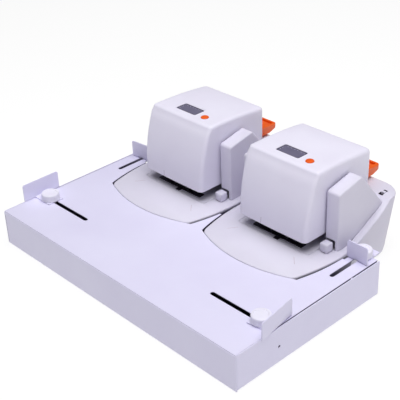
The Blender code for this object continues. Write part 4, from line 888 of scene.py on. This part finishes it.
def top_z(x, y):
    """Height of the cover's top, crowned along its depth and, towards the rear, across it too."""
    share = (y - COVER_CROWN_Y) / (COVER_REAR_Y - COVER_CROWN_Y)
    along = max(0, (y - CROSS_CROWN_Y) / (COVER_REAR_Y - CROSS_CROWN_Y)) ** CROSS_CROWN_POWER
    across = max(0, 1 - (x / COVER_HALF_TOP) ** 2)
    return COVER_TOP_Z - COVER_REAR_DROP * share ** 2 + COVER_CROSS_CROWN * along * across


def cover_ring(share, inset, fall=0.0):
    """Outline of the cover at a share of its height, drawn in by inset and lowered by fall."""
    narrowing = (COVER_HALF_TOP - COVER_HALF_BOTTOM) * (1 - share) ** SIDE_SWELL_POWER
    half_width = COVER_HALF_TOP - narrowing - inset
    front = COVER_FRONT_Y + COVER_FRONT_LEAN * share ** FRONT_LEAN_POWER + inset
    radius = COVER_CORNER_BOTTOM + (COVER_CORNER_TOP - COVER_CORNER_BOTTOM) * share - inset
    rear_radius = COVER_REAR_CORNER - inset
    side_end = COVER_REAR_Y - inset - rear_radius
    flat = half_width - radius
    half = [(x, front - COVER_BULGE * (1 - (x / flat) ** 2)) for x in spaced(0, flat, COVER_FRONT_STEPS)]
    half += arc((flat, front + radius), radius, -math.pi / 2, 0, CORNER_STEPS)[1:]
    half += [(half_width, y) for y in spaced(front + radius, side_end, COVER_SIDE_STEPS)[1:]]
    half += arc((half_width - rear_radius, side_end), rear_radius, 0, math.pi / 2, CORNER_STEPS)[1:]
    places = half + [(-x, y) for x, y in reversed(half[1:])]
    return [(x, y, COVER_BOTTOM_Z + share * (top_z(x, y) - COVER_BOTTOM_Z) - fall) for x, y in places]


def cover_top(fall):
    """Rings on the crowned top, or below it by fall, that shrink towards its middle."""
    middle = (COVER_FRONT_Y + COVER_FRONT_LEAN + COVER_REAR_Y) / 2
    rings = []
    for share in COVER_TOP_SHARES:
        places = [(x * share, middle + (y - middle) * share) for x, y, _ in cover_ring(1, COVER_EDGE)]
        rings.append([(x, y, top_z(x, y) - fall) for x, y in places])
    return rings


def cover_shell():
    """One closed shell: up the inside, round the bottom edge and up the outside to the crown."""
    outside = [cover_ring(share, 0) for share in COVER_LEVEL_SHARES]
    for angle in spaced(0, math.pi / 2, COVER_EDGE_STEPS):
        inset, fall = COVER_EDGE * (1 - math.cos(angle)), COVER_EDGE * (1 - math.sin(angle))
        outside.append(cover_ring(1, inset, fall))
    inside = [cover_ring(share, COVER_WALL) for share in COVER_LEVEL_SHARES[::2]]
    inside.append(cover_ring(1, COVER_WALL, COVER_EDGE))
    inside.append(cover_ring(1, COVER_EDGE, COVER_WALL))
    rings = (inside + cover_top(COVER_WALL))[::-1] + outside + cover_top(0)
    mesh = bmesh.new()
    skin(mesh, rings, crowned=True)
    bmesh.ops.recalc_face_normals(mesh, faces=mesh.faces)
    return mesh


def add_cover(side, move):
    """The moulded cover of a head, open below, with its window, button, pivot and cartridge openings."""
    low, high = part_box(f"{side}_display")
    gap = FIT_GAP
    border = rounded_corners(low[0] - gap, high[0] + gap, low[1] - gap, high[1] + gap, DISPLAY_CORNER)
    window = [(x - move[0], y - move[1]) for x, y in border]
    above = COVER_TOP_Z + COVER_CROSS_CROWN
    button_low, button_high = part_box(f"{side}_start_button")
    button = [(button_low[axis] + button_high[axis]) / 2 - move[axis] for axis in (0, 1)]
    reach = COVER_HALF_TOP + OVERRUN
    half = MAGAZINE_HALF_WIDTH + MAGAZINE_CLEARANCE
    cutters = [
        prism(window, "Z", low[2] - gap, above),
        prism(disc(button, BUTTON_HOLE), "Z", COVER_TOP_Z - OVERRUN, above),
        prism(disc((PIVOT_Y, PIVOT_Z), PIVOT_HOLE), "X", -reach, reach),
        block(
            (-half, COVER_REAR_Y - COVER_WALL - OVERRUN, MAGAZINE_BOTTOM_Z - MAGAZINE_CLEARANCE),
            (half, COVER_REAR_Y + OVERRUN, MAGAZINE_TOP_Z + MAGAZINE_CLEARANCE),
        ),
    ]
    node = f"{side}_head_cover"
    return form(f"{side}_moulded_cover", cover_shell(), cutters, f"{side}_head", move, *node_look(node), node)


def housing_profile(inset, bottom):
    """Side view of a housing: upright front, slope up to a peak and a long slope down to the hump."""
    front, rear = HOUSING_FRONT_Y + inset, HOUSING_REAR_Y - inset
    corners = [
        (front, bottom),
        (rear, bottom),
        (rear, HOUSING_REAR_Z - inset),
        (HOUSING_PEAK_Y, HOUSING_PEAK_Z - inset),
        (front, HOUSING_SHOULDER_Z - inset),
    ]
    return rounded(corners, [0, 0, 0, HOUSING_PROFILE_RADIUS, HOUSING_PROFILE_RADIUS])


def add_housing(side, hand, move):
    """The hollow housing at one side of the cover, with a door for the cube knob at the right."""
    sign = 1 if hand == "right" else -1
    node = f"{side}_housing_{hand}"
    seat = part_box(node)[0][2]
    start, end = sorted((sign * HOUSING_INNER_X, sign * HOUSING_OUTER_X))
    solid = prism(housing_profile(0, seat), "X", start, end)
    chosen = []
    for edge in solid.edges:
        first, second = (vertex.co for vertex in edge.verts)
        raised = max(first.z, second.z) > seat + FIT_GAP
        ahead = min(first.y, second.y) < HOUSING_REAR_Y - FIT_GAP
        if raised and ahead and abs(first.x - second.x) < FIT_GAP:
            chosen.append(edge)
    bmesh.ops.bevel(
        solid,
        geom=chosen,
        offset=HOUSING_EDGE,
        segments=HOUSING_EDGE_STEPS,
        profile=ROUND_PROFILE,
        affect="EDGES",
    )
    wall = HOUSING_WALL
    inner = sign * HOUSING_INNER_X
    hole = sorted((inner - sign * OVERRUN, inner + sign * (wall + OVERRUN)))
    cutters = [
        prism(housing_profile(wall, seat - OVERRUN), "X", start + wall, end - wall),
        prism(disc((PIVOT_Y, PIVOT_Z), PIVOT_HOLE), "X", *hole),
    ]
    if hand == "right":
        low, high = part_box(f"{side}_depth_knob")
        gap = KNOB_DOOR_GAP
        cutters.append(block(
            (low[0] - move[0] - gap, HOUSING_FRONT_Y - OVERRUN, seat - OVERRUN),
            (high[0] - move[0] + gap, HOUSING_FRONT_Y + wall + OVERRUN, high[2] + gap),
        ))
    look, width = node_look(node)
    form(f"{side}_shell_{hand}", solid, cutters, "root", move, look, width, node)

    start, end = sorted((sign * HOUSING_INNER_X, sign * WELL_HALF_WIDTH))
    front, rear = HOUSING_REAR_Y + STEP_SEAM, WELL_REAR_Y
    outline = [(front, seat), (rear, seat), (rear, ridge_z(rear)), (front, ridge_z(front))]
    form(f"{side}_step_{hand}", prism(outline, "X", start, end), [], "root", move, look, STEP_EDGE)


def ridge_z(y):
    """Height of the base's upper edge."""
    if y <= RIDGE[0][0]:
        return RIDGE[0][1]
    for (near, low), (far, high) in zip(RIDGE, RIDGE[1:]):
        if y <= far:
            return low + (high - low) * (y - near) / (far - near)
    return RIDGE[-1][1]


def add_base(side, node, move):
    """The base with the photographed rise to its hump and a front edge close to the tray."""
    tree = face_tree(node)
    shortening = RECESS_LENGTH / RECESS_FRAME_LENGTH

    def change(point):
        y = point.y - move[1]
        if point.z > DECK_Z + FIT_GAP and RIDGE[0][0] < y < RIDGE[-1][0]:
            old = cast(tree, (move[0] + RIDGE_CHECK_X, point.y, 0), (0, 0, -1)).z
            share = min(1, (point.z - DECK_Z) / max(old - DECK_Z, FIT_GAP))
            point.z += share * (ridge_z(y) - old)
        x = point.x - move[0]
        point.y -= FRONT_GROWTH * min(1, max(0, (FRONT_GROWTH_END - y) / FRONT_GROWTH_FADE))
        if y < SIDE_GROWTH_END and x > 0:
            point.x += SIDE_GROWTH * min(1, max(0, (x - SIDE_GROWTH_X) / SIDE_GROWTH_FADE))
        in_recess = SWITCH_LOW_Z - FIT_GAP < point.z and RECESS_FRONT_Y < y < RECESS_REAR_Y
        if in_recess and abs(x - RECESS_X) < RECESS_REACH:
            point.x += RECESS_SHIFT
            point.y = move[1] + SWITCH_FRONT_Y + (y - RECESS_FRAME_Y) * shortening
        return point

    return reshaped(f"{side}_moulded_base", node, change, "root")


def add_slider(side, node, move):
    """The short slider of the power switch, in its moved recess."""
    low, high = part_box(node.name)

    def change(point):
        point.x += RECESS_SHIFT
        share = (point.y - low[1]) / (high[1] - low[1])
        point.y = move[1] + SLIDER_FRONT_Y + share * SLIDER_LENGTH
        return point

    return reshaped(f"{side}_switch_slider", node, change, f"{side}_power_switch")


def add_sheet(node):
    """The tray's sheet, whose open line at the right edge widens towards the rear."""
    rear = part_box(node.name)[1][1]
    edge = max(vertex.co.x for vertex in node.data.vertices if vertex.co.y > rear - FIT_GAP)
    front = min(vertex.co.y for vertex in node.data.vertices if abs(vertex.co.x - edge) < WELD_DISTANCE)

    def change(point):
        if abs(point.x - edge) < WELD_DISTANCE:
            share = (point.y - front) / (rear - front)
            point.x -= SHEET_GAP_FRONT + (SHEET_GAP_REAR - SHEET_GAP_FRONT) * share
        return point

    return reshaped("tray_sheet", node, change, "root")


def add_handle(side, node, move):
    """The cartridge with the wider and longer pull of the photograph."""
    widening = HANDLE_WIDTH / HANDLE_FRAME_WIDTH
    lengthening = HANDLE_LENGTH / HANDLE_FRAME_LENGTH

    def change(point):
        x, y = point.x - move[0], point.y - move[1]
        beside = abs(x) > MAGAZINE_HALF_WIDTH + FIT_GAP
        behind = y > HANDLE_FRONT_Y + FIT_GAP and (beside or point.z < HANDLE_ROOT_Z)
        if behind or (beside and y > HANDLE_FRONT_Y - FIT_GAP):
            point.x = move[0] + x * widening
            point.z += HANDLE_LIFT
        if behind:
            point.y = move[1] + HANDLE_FRONT_Y + (y - HANDLE_FRONT_Y) * lengthening
        return point

    return reshaped(f"{side}_pull_cartridge", node, change, f"{side}_cartridge")


def add_forms(nodes, side, corner, middle):
    """The forms of one head, of which the cover and the base are given back."""
    move = (middle, corner[1], 0.0)
    for hand in ("left", "right"):
        add_housing(side, hand, move)
    add_handle(side, nodes[f"{side}_cartridge"], move)
    add_slider(side, nodes[f"{side}_power_switch"], move)
    return add_cover(side, move), add_base(side, nodes[f"{side}_base"], move)


def add_details(nodes):
    """All pieces that stand for or add to the frame's nodes."""
    corner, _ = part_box("tray_top")
    add_sheet(nodes["tray_top"])
    add_front_seam(nodes)
    for side in ("left", "right"):
        low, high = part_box(f"{side}_head_cover")
        middle = (low[0] + high[0]) / 2
        cover, base = add_forms(nodes, side, corner, middle)
        add_marks(side, cover, base, corner, middle)
        add_display_trim(side)
        add_switch_recess_shade(side, corner)
    add_edge_tack(corner)
    add_edge_flange(corner)


def make_camera():
    """The camera at the photograph's place, turn and lens."""
    azimuth, elevation, roll = (math.radians(v) for v in (CAMERA_AZIMUTH, CAMERA_ELEVATION, CAMERA_ROLL))
    back = Vector((
        math.sin(azimuth) * math.cos(elevation),
        -math.cos(azimuth) * math.cos(elevation),
        math.sin(elevation),
    ))
    right = Vector((math.cos(azimuth), math.sin(azimuth), 0))
    up = back.cross(right)
    side = math.cos(roll) * right + math.sin(roll) * up
    top = math.cos(roll) * up - math.sin(roll) * right
    data = bpy.data.cameras.new("camera")
    data.lens = CAMERA_LENS
    data.sensor_width = SENSOR_WIDTH
    data.clip_start, data.clip_end = CLIP_NEAR, CLIP_FAR
    camera = bpy.data.objects.new("camera", data)
    bpy.context.scene.collection.objects.link(camera)
    turn = Matrix((side, top, back)).transposed().to_4x4()
    camera.matrix_world = Matrix.Translation(CAMERA_PLACE) @ turn
    bpy.context.scene.camera = camera


def make_studio():
    """A white floor, an even white sky and two soft boxes."""
    scene = bpy.context.scene
    scene.view_settings.view_transform = "Standard"
    world = bpy.data.worlds.new("studio")
    world.use_nodes = True
    tree = world.node_tree
    sky = tree.nodes["Background"]
    sky.inputs["Color"].default_value = WHITE
    sky.inputs["Strength"].default_value = WORLD_STRENGTH
    wall = tree.nodes.new("ShaderNodeBackground")
    wall.inputs["Color"].default_value = WHITE
    wall.inputs["Strength"].default_value = WALL_STRENGTH
    seen = tree.nodes.new("ShaderNodeMixShader")
    path = tree.nodes.new("ShaderNodeLightPath")
    link(tree, path.outputs["Is Camera Ray"], seen.inputs["Fac"])
    link(tree, sky.outputs["Background"], seen.inputs[1])
    link(tree, wall.outputs["Background"], seen.inputs[2])
    link(tree, seen.outputs["Shader"], tree.nodes["World Output"].inputs["Surface"])
    scene.world = world
    for name, (place, target, width, height, power) in SOFT_BOXES.items():
        data = bpy.data.lights.new(name, "AREA")
        data.shape = "RECTANGLE"
        data.size, data.size_y = width, height
        data.energy = power
        light = bpy.data.objects.new(name, data)
        scene.collection.objects.link(light)
        light.location = place
        light.rotation_euler = (Vector(target) - Vector(place)).to_track_quat("-Z", "Y").to_euler()
    mesh = bpy.data.meshes.new("floor")
    half = FLOOR_SIZE / 2
    corners = [(-half, -half), (half, -half), (half, half), (-half, half)]
    mesh.from_pydata([(x, y, -FLOOR_DROP) for x, y in corners], [], [(0, 1, 2, 3)])
    floor = bpy.data.objects.new("floor", mesh)
    scene.collection.objects.link(floor)
    paper = bpy.data.materials.new("floor_paper")
    paper.use_nodes = True
    shader = paper.node_tree.nodes["Principled BSDF"]
    shader.inputs["Base Color"].default_value = FLOOR_COLOUR
    shader.inputs["Roughness"].default_value = FLOOR_ROUGHNESS
    shader.inputs["Emission Color"].default_value = WHITE
    shader.inputs["Emission Strength"].default_value = FLOOR_GLOW
    mesh.materials.append(paper)


def main():
    """Dresses the frame, adds the closer forms and details, and sets up the light and the camera."""
    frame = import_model()
    dress_frame(frame["nodes"])
    add_details(frame["nodes"])
    make_camera()
    make_studio()


main()
